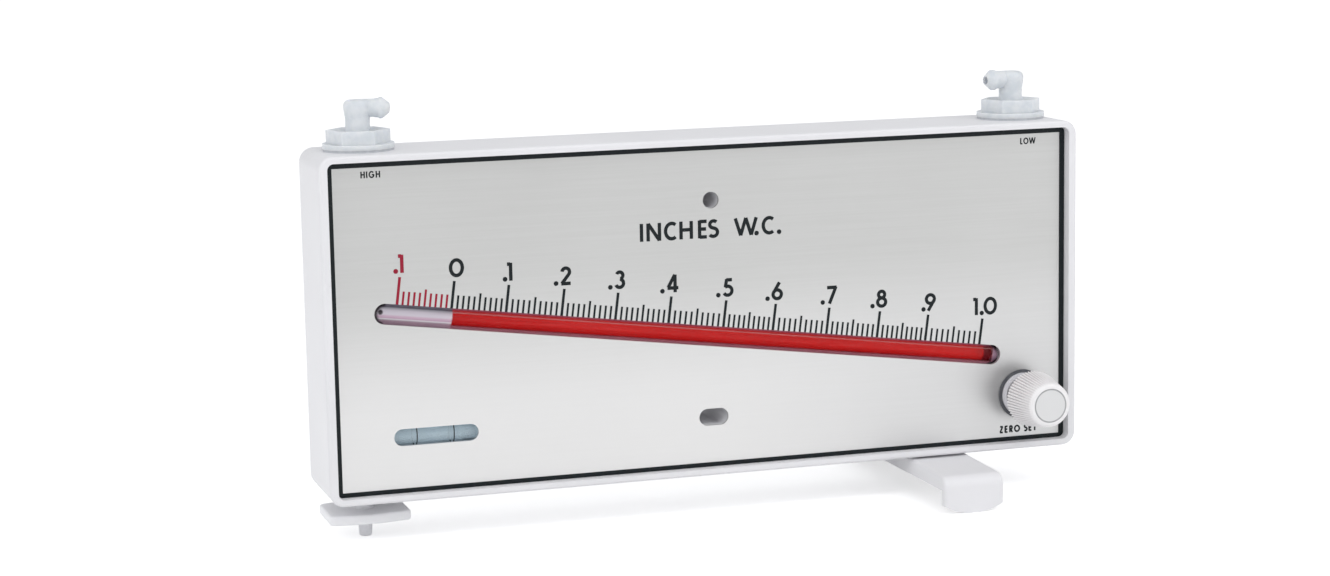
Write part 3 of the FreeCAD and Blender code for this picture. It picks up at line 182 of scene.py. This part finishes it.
# A black line is printed round the plate's edge. Its corners are nearly square, and it is a
# little narrower along the bottom.
INK_THICK = 0.00006
BORDER_HALF = (0.12075, 0.05105)
BORDER_CORNER = 0.0017
BORDER_WIDE = 0.00175
INNER_LOW = (-0.0499, -0.0480)
INNER_DROP = -0.0004
ON_PLATE = Matrix.Translation((0, PLATE_FACE, MIDDLE)) @ Matrix.Rotation(math.radians(90), 4, "X")
BLACK = (0.006, 0.010, 0.012, 1)
RED = (0.32, 0.012, 0.035, 1)


def printed(colour):
    """A thin, slightly uneven coat of ink."""

    def surface(place):
        worn = place.speckle(0.0005, 2.0).between(0.45, 0.8)
        paler = tuple(c + 0.012 for c in colour[:3]) + (1,)
        return place.node("BsdfPrincipled", {}, {
            "Base Color": worn.blend(colour, paler),
            "Roughness": worn * 0.1 + 0.45,
            "Specular IOR Level": 0.2,
        })

    return surface


def new_piece(name, shape, material, body):
    """Makes an object of a finished bmesh, gives it its finish and lets it ride on a body."""
    mesh = bpy.data.meshes.new(name)
    shape.to_mesh(mesh)
    shape.free()
    mesh.materials.append(material)
    piece = bpy.data.objects.new(name, mesh)
    bpy.context.scene.collection.objects.link(piece)
    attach(piece, body)


black_ink = finish("black_ink", printed(BLACK))
red_ink = finish("red_ink", printed(RED))

edge = bmesh.new()
bmesh.ops.create_grid(edge, x_segments=1, y_segments=1, size=1.0)
bmesh.ops.scale(edge, vec=(*BORDER_HALF, 1), verts=edge.verts)
bmesh.ops.bevel(
    edge, geom=edge.verts, offset=BORDER_CORNER, segments=6, profile=0.5, affect="VERTICES",
    material=-1,
)
inner = bmesh.ops.inset_region(
    edge, faces=edge.faces, thickness=BORDER_WIDE, use_boundary=True, use_even_offset=True
)
low = [v for v in edge.verts if INNER_LOW[0] < v.co.y < INNER_LOW[1]]
bmesh.ops.translate(edge, verts=low, vec=(0, INNER_DROP, 0))
middle = [f for f in edge.faces if f not in inner["faces"]]
bmesh.ops.delete(edge, geom=middle, context="FACES_ONLY")
raised = bmesh.ops.extrude_face_region(edge, geom=edge.faces[:])
lifted = [v for v in raised["geom"] if isinstance(v, bmesh.types.BMVert)]
bmesh.ops.translate(edge, verts=lifted, vec=(0, 0, INK_THICK))
bmesh.ops.transform(edge, matrix=ON_PLATE, verts=edge.verts)
bmesh.ops.recalc_face_normals(edge, faces=edge.faces)
new_piece("printed_border", edge, black_ink, "housing")

# The graduations stand square to the sloping tube: a short line each hundredth, a longer one
# each five and the longest each tenth. Those above the zero are red. Lines are (long, wide).
TILT = math.radians(7.6)
WINDOW = (-0.00461, -0.00879)
TENTHS = (
    -0.0971, -0.0801, -0.0629, -0.0452, -0.0278, -0.0104, 0.0078, 0.0244, 0.0426, 0.0600, 0.0768,
    0.0959,
)
LINE_FOOT = 0.0032
TENTH_LINE = (0.0084, 0.00085)
FIVE_LINE = (0.0052, 0.00066)
HUNDREDTH_LINE = (0.0041, 0.00065)


def scale_place(along, out):
    """Where a place along the tube and out from it is on the plate, across and up."""
    across = WINDOW[0] + along * math.cos(TILT) + out * math.sin(TILT)
    up = WINDOW[1] - along * math.sin(TILT) + out * math.cos(TILT)
    return across, up


def mark_place(mark):
    """How far along the tube a hundredth lies: even parts of the listed tenths."""
    tenth, part = divmod(mark, 10)
    low, high = TENTHS[tenth + 1], TENTHS[min(tenth + 2, len(TENTHS) - 1)]
    return low + (high - low) * part / 10


def graduations(name, marks, material):
    lines = bmesh.new()
    for mark in marks:
        if mark % 10 == 0:
            long, wide = TENTH_LINE
        elif mark % 5 == 0:
            long, wide = FIVE_LINE
        else:
            long, wide = HUNDREDTH_LINE
        across, up = scale_place(mark_place(mark), LINE_FOOT + long / 2)
        place = Matrix.Translation((across, PLATE_FACE - INK_THICK / 2, MIDDLE + up))
        turn = Matrix.Rotation(TILT, 4, "Y")
        size = Matrix.Diagonal((wide, INK_THICK, long, 1))
        bmesh.ops.create_cube(lines, size=1.0, matrix=place @ turn @ size)
    new_piece(name, lines, material, "housing")


graduations("scale_lines", range(0, 101), black_ink)
graduations("red_scale_lines", range(-10, 0), red_ink)

# The lettering is a plain geometric hand of even strokes and round bowls, printed upright.
# Each letter is the middle lines of its strokes, for a height of 1. The small words are set a
# little narrower. A style is (height, weight of the line, share of the full width).
def arc(across, up, wide, tall, start, end):
    """Points along part of an oval, between two angles in degrees."""
    steps = max(2, round(abs(end - start) / 10))
    turns = [math.radians(start + (end - start) * i / steps) for i in range(steps + 1)]
    return [(across + wide * math.cos(t), up + tall * math.sin(t)) for t in turns]


LETTERS = {
    ".": [arc(0, 0.10, 0.035, 0.035, 0, 360)],
    "0": [arc(0.33, 0.5, 0.33, 0.43, 0, 360)],
    "1": [[(0.20, 0), (0.20, 1)], [(0.0, 0.93), (0.18, 0.93)]],
    "2": [
        arc(0.27, 0.71, 0.215, 0.22, 172, -38) + [(0.03, 0.065)],
        [(0.0, 0.065), (0.54, 0.065)],
    ],
    "3": [
        arc(0.235, 0.74, 0.185, 0.19, 155, -80),
        arc(0.225, 0.295, 0.225, 0.23, 85, -160),
    ],
    "4": [[(0.44, 1.0), (0.04, 0.29)], [(0.0, 0.25), (0.64, 0.25)], [(0.45, 0), (0.45, 1)]],
    "5": [
        [(0.13, 0.935), (0.48, 0.935)],
        [(0.16, 0.98), (0.08, 0.52)],
        arc(0.215, 0.32, 0.255, 0.255, 128, -150),
    ],
    "6": [arc(0.26, 0.32, 0.25, 0.25, 0, 360), [(0.03, 0.40), (0.40, 1.0)]],
    "7": [[(0.0, 0.935), (0.58, 0.935)], [(0.54, 0.97), (0.13, 0.0)]],
    "8": [arc(0.25, 0.74, 0.19, 0.19, 0, 360), arc(0.25, 0.30, 0.25, 0.235, 0, 360)],
    "9": [arc(0.26, 0.68, 0.25, 0.25, 0, 360), [(0.49, 0.60), (0.12, 0.0)]],
    "C": [arc(0.36, 0.5, 0.36, 0.43, 52, 308)],
    "E": [
        [(0, 0), (0, 1)], [(0, 0.935), (0.42, 0.935)], [(0, 0.51), (0.38, 0.51)],
        [(0, 0.065), (0.42, 0.065)],
    ],
    "G": [
        arc(0.44, 0.5, 0.44, 0.43, 42, 354) + [(0.87, 0.47)],
        [(0.48, 0.47), (0.90, 0.47)],
    ],
    "H": [[(0, 0), (0, 1)], [(0.60, 0), (0.60, 1)], [(0, 0.52), (0.60, 0.52)]],
    "I": [[(0, 0), (0, 1)]],
    "L": [[(0, 0), (0, 1)], [(0, 0.065), (0.38, 0.065)]],
    "N": [[(0, 0), (0, 1)], [(0.66, 0), (0.66, 1)], [(0.01, 0.98), (0.65, 0.02)]],
    "O": [arc(0.44, 0.5, 0.44, 0.43, 0, 360)],
    "R": [
        [(0, 0), (0, 1)],
        [(0, 0.935), (0.18, 0.935)] + arc(0.18, 0.71, 0.225, 0.225, 80, -80) + [(0, 0.485)],
        [(0.17, 0.47), (0.44, 0.0)],
    ],
    "S": [arc(0.25, 0.735, 0.22, 0.195, 40, 255) + arc(0.23, 0.295, 0.25, 0.23, 75, -145)],
    "T": [[(0.22, 0), (0.22, 1)], [(-0.02, 0.935), (0.46, 0.935)]],
    "W": [
        [(0.0, 1), (0.31, 0.02)], [(0.31, 0.02), (0.62, 1)], [(0.62, 1), (0.93, 0.02)],
        [(0.93, 0.02), (1.24, 1)],
    ],
    "Z": [
        [(0.03, 0.935), (0.54, 0.935)], [(0.50, 0.94), (0.03, 0.06)], [(0, 0.065), (0.55, 0.065)],
    ],
}
LETTER_WIDTHS = {
    "E": 0.40, "G": 0.86, "H": 0.60, "I": 0.0, "L": 0.36, "O": 0.88, "R": 0.42, "S": 0.48,
    "T": 0.44, "W": 1.24, "Z": 0.52,
}


def print_letters(name, letters, style, material):
    """Prints letters given as (letter, across, up), each from the left end of its own lines."""
    height, weight, narrow = style
    pen = bpy.data.curves.new(name, "CURVE")
    pen.dimensions = "3D"
    pen.bevel_depth = weight / 2
    pen.bevel_resolution = 2
    pen.use_fill_caps = True
    for letter, across, up in letters:
        for stroke in LETTERS[letter]:
            line = pen.splines.new("POLY")
            closed = len(stroke) > 4 and math.dist(stroke[0], stroke[-1]) < 0.001
            spots = stroke[:-1] if closed else stroke
            line.points.add(len(spots) - 1)
            line.use_cyclic_u = closed
            for point, (x, y) in zip(line.points, spots):
                point.co = (across + x * height * narrow, up + y * height, 0, 1)
    stroke_object = bpy.data.objects.new(name + "_pen", pen)
    drawn = bmesh.new()
    drawn.from_mesh(bpy.data.meshes.new_from_object(stroke_object))
    bpy.data.objects.remove(stroke_object)
    flat = Matrix.Diagonal((1, 1, 2 * INK_THICK / weight, 1))
    bmesh.ops.transform(drawn, matrix=ON_PLATE @ flat, verts=drawn.verts)
    new_piece(name, drawn, material, "housing")


def spread(word, left, right, up, style):
    """Places a word's letters evenly between its outer left and right edges."""
    height, weight, narrow = style
    left, right = left + weight / 2, right - weight / 2
    widths = [LETTER_WIDTHS[letter] * height * narrow for letter in word]
    gap = (right - left - sum(widths)) / (len(word) - 1)
    return [(letter, left + sum(widths[:i]) + i * gap, up) for i, letter in enumerate(word)]


TITLE_UP = 0.0218
TITLE_STYLE = (0.0056, 0.00113, 1.0)
TITLE = (
    ("I", -0.02273), ("N", -0.02059), ("C", -0.01491), ("H", -0.00987), ("E", -0.00380),
    ("S", -0.00060), ("W", 0.00800), (".", 0.01500), ("C", 0.01725), (".", 0.02250),
)
title = [(letter, across, TITLE_UP) for letter, across in TITLE]
print_letters("title_lettering", title, TITLE_STYLE, black_ink)

PORT_STYLE = (0.0020, 0.00044, 0.8)
port_words = spread("HIGH", -0.1103, -0.10425, 0.0461, PORT_STYLE)
port_words += spread("LOW", 0.1052, 0.1107, 0.0460, PORT_STYLE)
print_letters("port_lettering", port_words, PORT_STYLE, black_ink)

ZERO_UP = -0.0483
ZERO_STYLE = (0.0022, 0.00060, 0.85)
zero_words = spread("ZERO", 0.0979, 0.1054, ZERO_UP, ZERO_STYLE)
zero_words += spread("SET", 0.1066, 0.1113, ZERO_UP, ZERO_STYLE)
print_letters("zero_lettering", zero_words, ZERO_STYLE, black_ink)

# The figures stand over the long lines, a little to the right, each with its point before it.
# The one above the zero is red.
FIGURE_HIGH = 0.00555
FIGURE_STYLE = (FIGURE_HIGH, 0.00112, 1.0)
FIGURE_LIFT = 0.00125


def figure(mark, parts):
    """The letters of one figure, each given with its place from the line, in heights."""
    across, up = scale_place(mark_place(mark), LINE_FOOT + TENTH_LINE[0])
    return [(letter, across + away * FIGURE_HIGH, up + FIGURE_LIFT) for letter, away in parts]


FIGURES = (
    (0, [("0", -0.19)]), (10, [(".", -0.21), ("1", -0.08)]), (20, [(".", -0.47), ("2", -0.17)]),
    (30, [(".", -0.45), ("3", -0.13)]), (40, [(".", -0.52), ("4", -0.22)]),
    (50, [(".", -0.47), ("5", -0.125)]), (60, [(".", -0.49), ("6", -0.165)]),
    (70, [(".", -0.40), ("7", -0.125)]), (80, [(".", -0.455), ("8", -0.14)]),
    (90, [(".", -0.29), ("9", -0.12)]), (100, [("1", -0.58), (".", -0.04), ("0", 0.17)]),
)
figures = [placed for mark, parts in FIGURES for placed in figure(mark, parts)]
print_letters("scale_figures", figures, FIGURE_STYLE, black_ink)
red_figures = figure(-10, [(".", -0.21), ("1", -0.06)])
print_letters("red_scale_figure", red_figures, FIGURE_STYLE, red_ink)

# The indicating tube is clear acrylic. It is filled with red oil up to the zero and rests
# in white saddles. Light and dark bands along it are painted highlights and painted shade,
# and it is painted dark in a rim at each end and a spot near the left end.
def along_tube(place):
    """How far along the tube and out from its middle line a place is, in metres."""
    split = {"Vector": place}
    across = place.node("SeparateXYZ", {}, split, out="X") - WINDOW[0]
    up = place.node("SeparateXYZ", {}, split, out="Z") - (MIDDLE + WINDOW[1])
    return (
        across * math.cos(TILT) - up * math.sin(TILT),
        across * math.sin(TILT) + up * math.cos(TILT),
    )


def reach(first, second):
    """How far a place is from a point that it is so far from in two directions."""
    return first.maths("POWER", first * first + second * second, 0.5)


BANDS_HALF = 0.004
# Painted highlights and painted shade across the tube, as stops of place across and colour with
# share.
EMPTY_LIGHT_SHADE_BANDS = [
    (0.0, (0.62, 0.42, 0.52, 0.9)), (0.20, (0.58, 0.38, 0.48, 0.85)),
    (0.25, (0.62, 0.50, 0.58, 0.85)), (0.295, (0.97, 0.95, 0.98, 0.9)),
    (0.335, (0.66, 0.44, 0.58, 0.85)), (0.42, (0.72, 0.52, 0.65, 0.8)),
    (0.47, (0.74, 0.68, 0.76, 0.8)), (0.63, (0.76, 0.70, 0.78, 0.8)),
    (0.71, (0.52, 0.49, 0.56, 0.85)), (0.765, (0.16, 0.15, 0.19, 0.9)),
    (0.81, (0.34, 0.30, 0.38, 0.8)),
]
OIL_LIGHT_SHADE_BANDS = [
    (0.0, (0.62, 0.32, 0.40, 0.85)), (0.16, (0.66, 0.26, 0.34, 0.65)),
    (0.20, (0.66, 0.06, 0.08, 0.2)), (0.235, (0.70, 0.03, 0.04, 0.03)),
    (0.665, (0.9, 0.3, 0.3, 0.03)), (0.705, (1.0, 0.5, 0.5, 0.45)),
    (0.74, (0.9, 0.3, 0.3, 0.05)), (0.78, (0.60, 0.12, 0.18, 0.3)),
    (0.82, (0.60, 0.24, 0.34, 0.7)),
]
FILLED_FROM = (-0.0794, -0.0788)
BARE_FROM = (0.1015, 0.1021)
DARK_SPOT = (-0.1016, 0.0003)
RIM_MIDDLE = (0.0006, -0.00045)
RIM_HALF = 0.1003
RIM_WIDE = (0.0021, 0.0032)
RIM_RISE = 0.0008


def clear_acrylic(place):
    along, out = along_tube(place)
    across = (out + BANDS_HALF) * (0.5 / BANDS_HALF)
    filled = along.between(*FILLED_FROM)
    # The bands paint highlights and shade into the acrylic's colour and its share.
    tone = filled.blend(across.ramp(EMPTY_LIGHT_SHADE_BANDS), across.ramp(OIL_LIGHT_SHADE_BANDS))
    share, oil_share = across.ramp(EMPTY_LIGHT_SHADE_BANDS, "Alpha"), across.ramp(OIL_LIGHT_SHADE_BANDS, "Alpha")
    share = share + filled * (oil_share - share)
    bare = along.between(*BARE_FROM)
    tone = bare.blend(tone, (0.46, 0.28, 0.38, 1))
    spot = 1.0 - reach(along - DARK_SPOT[0], out - DARK_SPOT[1]).between(0.0005, 0.0011)
    beyond = place.maths("ABSOLUTE", along - RIM_MIDDLE[0]) - RIM_HALF
    beyond = place.maths("MAXIMUM", beyond, 0.0)
    rim = reach(beyond, out - RIM_MIDDLE[1]).between(*RIM_WIDE) * beyond.between(0.0, RIM_RISE)
    dark = place.maths("MAXIMUM", rim, spot)
    tone = dark.blend(tone, (0.035, 0.022, 0.032, 1))
    share = place.maths("MAXIMUM", place.maths("MAXIMUM", share, bare * 0.75), dark * 0.85)
    haze = place.speckle(0.004, 2.0).between(0.3, 0.7)
    clear = place.node("BsdfTransparent", {}, {"Color": (0.99, 0.985, 0.995, 1)})
    body = place.node("BsdfPrincipled", {}, {
        "Base Color": tone, "Roughness": haze * 0.05 + 0.06, "IOR": 1.49,
    })
    return place.node("MixShader", {}, {0: share, 1: clear, 2: body})


paint(finish("clear_acrylic", clear_acrylic), "indicating_tube")

OIL_FROM = (-0.0792, -0.0786)
OIL_END = (0.0989, 0.0996)


def red_gauge_oil(place):
    along = along_tube(place)[0]
    depth = place.speckle(0.006, 1.0, (0.2, 1.0, 1.0)).between(0.2, 0.8)
    end = along.between(*OIL_END)
    tone = depth.blend((0.68, 0.022, 0.020, 1), (0.76, 0.030, 0.026, 1))
    # Painted light: an emission makes the oil glow red, standing for light scattered in it.
    painted_glow = depth.blend((0.13, 0.003, 0.003, 1), (0.15, 0.004, 0.004, 1))
    oil = place.node("BsdfPrincipled", {}, {
        "Base Color": end.blend(tone, (0.20, 0.006, 0.012, 1)),
        "Emission Color": end.blend(painted_glow, (0.03, 0.001, 0.002, 1)),
        "Emission Strength": 1.0,
        "Roughness": depth * 0.05 + 0.12,
        "IOR": 1.43,
        "Specular IOR Level": 0.2,
    })
    thin = place.node("BsdfTransparent")
    return place.node("MixShader", {}, {0: along.between(*OIL_FROM), 1: thin, 2: oil})


paint(finish("red_gauge_oil", red_gauge_oil), "tube_oil", "well_oil")

# The port block, the oil well and its cap are clear acrylic too. Thick walls make them look
# a little blue and grey, and the sleeve that stands out of the plate nearly white.
SLEEVE_BACK = (-0.0150, -0.0128)


def block_acrylic(place):
    haze = place.speckle(0.003, 2.0).between(0.3, 0.7)
    clear = place.node("BsdfTransparent", {}, {"Color": (0.96, 0.97, 0.985, 1)})
    gloss = place.node("BsdfPrincipled", {}, {
        "Base Color": (0.84, 0.83, 0.87, 1), "Roughness": haze * 0.05 + 0.05, "IOR": 1.49,
    })
    facing = place.node("LayerWeight", {}, {"Blend": 0.35}, out="Facing")
    depth = place.node("SeparateXYZ", {}, {"Vector": place}, out="Y")
    share = facing * 0.35 + 0.06 + 0.75 * (1.0 - depth.between(*SLEEVE_BACK))
    return place.node("MixShader", {}, {0: share, 1: clear, 2: gloss})


paint(finish("block_acrylic", block_acrylic), "high_port_block", "well_block", "well_cap")

# The spirit level is a smoke-grey tube of green-grey spirit with a bubble, closed by a plug. Two
# fine black rings round it show where the bubble belongs.
def smoke_acrylic(place):
    haze = place.speckle(0.003, 2.0).between(0.3, 0.7)
    clear = place.node("BsdfTransparent", {}, {"Color": (0.95, 0.97, 0.98, 1)})
    gloss = place.node("BsdfPrincipled", {}, {
        "Base Color": (0.60, 0.68, 0.72, 1), "Roughness": haze * 0.03 + 0.05, "IOR": 1.49,
    })
    facing = place.node("LayerWeight", {}, {"Blend": 0.35}, out="Facing")
    return place.node("MixShader", {}, {0: facing * 0.3 + 0.04, 1: clear, 2: gloss})


def level_spirit(place):
    cloud = place.speckle(0.004, 1.0).between(0.2, 0.8)
    return place.node("BsdfPrincipled", {}, {
        "Base Color": cloud.blend((0.80, 0.88, 0.92, 1), (0.84, 0.92, 0.95, 1)),
        # Painted light: an emission lifts the spirit out of the shade behind the plate.
        "Emission Color": cloud.blend((0.085, 0.10, 0.11, 1), (0.095, 0.11, 0.12, 1)),
        "Emission Strength": 1.0,
        "Roughness": cloud * 0.05 + 0.10,
        "IOR": 1.36,
    })


paint(finish("smoke_acrylic", smoke_acrylic), "vial", "vial_plug")
paint(finish("level_spirit", level_spirit), "vial_liquid")

VIAL_AXIS = (-0.0080, 0.03255)
RING_RADIUS = 0.00413
RING_WIDE = 0.00032
RING_THICK = 0.00004
for side, across in (("left", -0.09535), ("right", -0.08374)):
    ring = bmesh.new()
    turn = Matrix.Translation((across, *VIAL_AXIS)) @ Matrix.Rotation(math.radians(90), 4, "Y")
    bmesh.ops.create_circle(ring, segments=64, radius=RING_RADIUS, matrix=turn)
    wide = bmesh.ops.extrude_edge_only(ring, edges=ring.edges[:])
    moved = [v for v in wide["geom"] if isinstance(v, bmesh.types.BMVert)]
    bmesh.ops.translate(ring, verts=moved, vec=(RING_WIDE, 0, 0))
    bmesh.ops.recalc_face_normals(ring, faces=ring.faces)
    bmesh.ops.solidify(ring, geom=ring.faces[:], thickness=RING_THICK)
    new_piece(f"level_ring_{side}", ring, black_ink, "housing")

# Black nitrile rings and seals and grey rubber gaskets close the tube, the plunger and the
# connectors, and a slate ring sits round the zero sleeve.
def soft_rubber(dark, pale):
    """Matt rubber with a little bloom on it."""

    def surface(place):
        bloom = place.speckle(0.0015, 3.0).between(0.35, 0.75)
        return place.node("BsdfPrincipled", {}, {
            "Base Color": bloom.blend(dark, pale),
            "Roughness": bloom * 0.2 + 0.45,
            "Normal": place.speckle(0.0003).relief(0.00001),
        })

    return surface


RUBBERS = (
    ("black_rubber", (0.02, 0.021, 0.024, 1), (0.05, 0.052, 0.058, 1), (
        "tube_seal_upper", "tube_seal_lower", "plunger_ring", "high_elbow_ring", "low_elbow_ring",
    )),
    ("grey_rubber", (0.50, 0.52, 0.55, 1), (0.58, 0.60, 0.63, 1), ("high_gasket", "low_gasket")),
    ("slate_rubber", (0.075, 0.078, 0.09, 1), (0.11, 0.115, 0.125, 1), ("zero_ring",)),
)
for name, dark, pale, seals in RUBBERS:
    paint(finish(name, soft_rubber(dark, pale)), *seals)

# The connectors are natural nylon, milky and a little see-through, with the soft skin of a
# moulded part.
def natural_nylon(place):
    cloud = place.speckle(0.003, 3.0).between(0.3, 0.7)
    return place.node("BsdfPrincipled", {}, {
        "Base Color": cloud.blend((0.66, 0.695, 0.725, 1), (0.75, 0.77, 0.79, 1)),
        "Roughness": cloud * 0.12 + 0.28,
        "Subsurface Weight": 0.6,
        "Subsurface Radius": (1.0, 1.0, 1.1),
        "Subsurface Scale": 0.002,
        "IOR": 1.53,
        "Normal": place.speckle(0.0006).relief(0.00001),
    })


connector_nylon = finish("natural_nylon", natural_nylon)
paint(connector_nylon, "high_elbow", "high_bushing", "low_elbow", "low_bushing")

# The zero knob is a white fluted moulding with a pressed-in cap on a nylon plunger. Painted shade
# darkens its flutes, less towards the front, and the joint round the cap.
KNOB_AXIS = (0.10588, 0.03067)
KNOB_FLUTES = 56.0
FLUTE_RADII = (0.0067, 0.0071)
FLUTE_FADE = (-0.0350, -0.0270)
KNOB_FRONT = (-0.0345, -0.0340)
CAP_RADII = (0.00505, 0.0052)
JOINT_INNER = (0.00495, 0.00512)
JOINT_OUTER = (0.00545, 0.00560)


def knob_plastic(place):
    cloud = place.speckle(0.01, 2.0).between(0.3, 0.7)
    aside = place.node("SeparateXYZ", {}, {"Vector": place}, out="X") - KNOB_AXIS[0]
    above = place.node("SeparateXYZ", {}, {"Vector": place}, out="Z") - KNOB_AXIS[1]
    away = place.node("SeparateXYZ", {}, {"Vector": place}, out="Y")
    radius = reach(aside, above)
    waves = place.maths("ARCTAN2", above, aside) * KNOB_FLUTES
    # Painted shade in the flute valleys, fading towards the front, and in the joint round the
    # cap.
    flute_shade = place.maths("COSINE", waves).between(-0.2, 1.0) * radius.between(*FLUTE_RADII)
    flute_shade = flute_shade * (1.0 - 0.75 * (1.0 - away.between(*FLUTE_FADE)))
    front = 1.0 - away.between(*KNOB_FRONT)
    face = (1.0 - radius.between(*CAP_RADII)) * front
    joint_shade = radius.between(*JOINT_INNER) * (1.0 - radius.between(*JOINT_OUTER)) * front
    tone = cloud.blend((0.90, 0.885, 0.89, 1), (0.93, 0.915, 0.92, 1))
    tone = face.blend(tone, (0.75, 0.75, 0.75, 1))
    tone = flute_shade.blend(tone, (0.60, 0.58, 0.59, 1))
    tone = joint_shade.blend(tone, (0.48, 0.48, 0.49, 1))
    return place.node("BsdfPrincipled", {}, {
        "Base Color": tone,
        "Roughness": cloud * 0.08 + 0.36,
        "Normal": place.speckle(0.0003, 2.0).relief(0.000008),
    })


paint(finish("white_knob", knob_plastic), "knob", "knob_cap", "plunger")

# The foot is moulded in the case's white, and the levelling screw under the other end in white
# nylon, with a soft grey tip.
def white_nylon(place):
    cloud = place.speckle(0.006, 2.0).between(0.3, 0.7)
    return place.node("BsdfPrincipled", {}, {
        "Base Color": cloud.blend((0.86, 0.86, 0.88, 1), (0.89, 0.89, 0.91, 1)),
        "Roughness": cloud * 0.1 + 0.34,
        "Normal": place.speckle(0.0005, 2.0).relief(0.00001),
    })


def grey_tip(place):
    cloud = place.speckle(0.002, 2.0).between(0.3, 0.7)
    return place.node("BsdfPrincipled", {}, {
        "Base Color": cloud.blend((0.84, 0.84, 0.87, 1), (0.89, 0.89, 0.92, 1)),
        "Roughness": cloud * 0.1 + 0.4,
        "Normal": place.speckle(0.0005, 2.0).relief(0.00001),
    })


paint(white_case, "right_foot")
paint(finish("white_nylon", white_nylon), "levelling_screw", "levelling_bush")
paint(finish("grey_tip", grey_tip), "levelling_tip")

# It stands on a wide white table. What is seen of the table is lifted to white, directly or in
# a shiny piece, and the manometer's soft shadow stays on it.
TABLE_LIFT = 0.46


def white_table(place):
    seen = place.node("LightPath", out="Is Camera Ray")
    for ray in ("Is Glossy Ray", "Is Transmission Ray"):
        seen = place.maths("MAXIMUM", seen, place.node("LightPath", out=ray))
    matt = place.node("BsdfDiffuse", {}, {"Color": (0.92, 0.92, 0.92, 1)})
    lift = place.node("Emission", {}, {"Color": (1, 1, 1, 1), "Strength": seen * TABLE_LIFT})
    return place.node("AddShader", {}, {0: matt, 1: lift})


table = bmesh.new()
bmesh.ops.create_grid(table, x_segments=1, y_segments=1, size=20.0)
floor_mesh = bpy.data.meshes.new("table")
table.to_mesh(floor_mesh)
table.free()
floor_mesh.materials.append(finish("white_table", white_table))
floor = bpy.data.objects.new("table", floor_mesh)
bpy.context.scene.collection.objects.link(floor)

# Even daylight comes from all round, with one long soft lamp over the front and a broad one at
# each side. The lamps face the middle of the case.
LAMP_TARGET = (0, 0, 0.06)
world = bpy.data.worlds.new("studio")
world.use_nodes = True
world.node_tree.nodes.clear()
sky = Wire(world.node_tree)
seen = sky.node("LightPath", out="Is Camera Ray")
back = sky.node("Background", {}, {"Color": (0.97, 0.98, 1.0, 1), "Strength": 0.69})
white = sky.node("Background", {}, {"Color": (1, 1, 1, 1), "Strength": 1.0})
sky.node("OutputWorld", {}, {"Surface": sky.node("MixShader", {}, {0: seen, 1: back, 2: white})})
bpy.context.scene.world = world


def soft_lamp(name, place, long, tall, power):
    """A flat lamp of so many watts."""
    lamp = bpy.data.lights.new(name, "AREA")
    lamp.shape = "RECTANGLE"
    lamp.size, lamp.size_y = long, tall
    lamp.energy = power
    held = bpy.data.objects.new(name, lamp)
    held.matrix_world = Matrix.Translation(place) @ (
        (Vector(place) - Vector(LAMP_TARGET)).to_track_quat("Z", "Y").to_matrix().to_4x4()
    )
    bpy.context.scene.collection.objects.link(held)


soft_lamp("front_lamp", (0.1, -0.75, 1.1), 1.6, 0.35, 4.2)
soft_lamp("right_lamp", (1.1, -1.1, 0.7), 0.8, 0.8, 2.4)
soft_lamp("left_lamp", (-1.3, -0.5, 0.6), 0.8, 0.8, 3.0)

# The camera stands in front, to the left and a little above, as in the photograph. Its turn to
# the side, its look down and its roll are in degrees.
CAMERA_PLACE = (-0.27393, -0.83840, 0.207605)
CAMERA_SIDE, CAMERA_DOWN, CAMERA_ROLL = -17.40, 8.83, -1.03
lens = bpy.data.cameras.new("camera")
lens.lens = 76.06
lens.sensor_width = 36.0
camera = bpy.data.objects.new("camera", lens)
camera.matrix_world = (
    Matrix.Translation(CAMERA_PLACE)
    @ Matrix.Rotation(math.radians(CAMERA_SIDE), 4, "Z")
    @ Matrix.Rotation(math.radians(90 - CAMERA_DOWN), 4, "X")
    @ Matrix.Rotation(math.radians(CAMERA_ROLL), 4, "Z")
)
bpy.context.scene.collection.objects.link(camera)
bpy.context.scene.camera = camera
bpy.context.scene.view_settings.view_transform = "Standard"
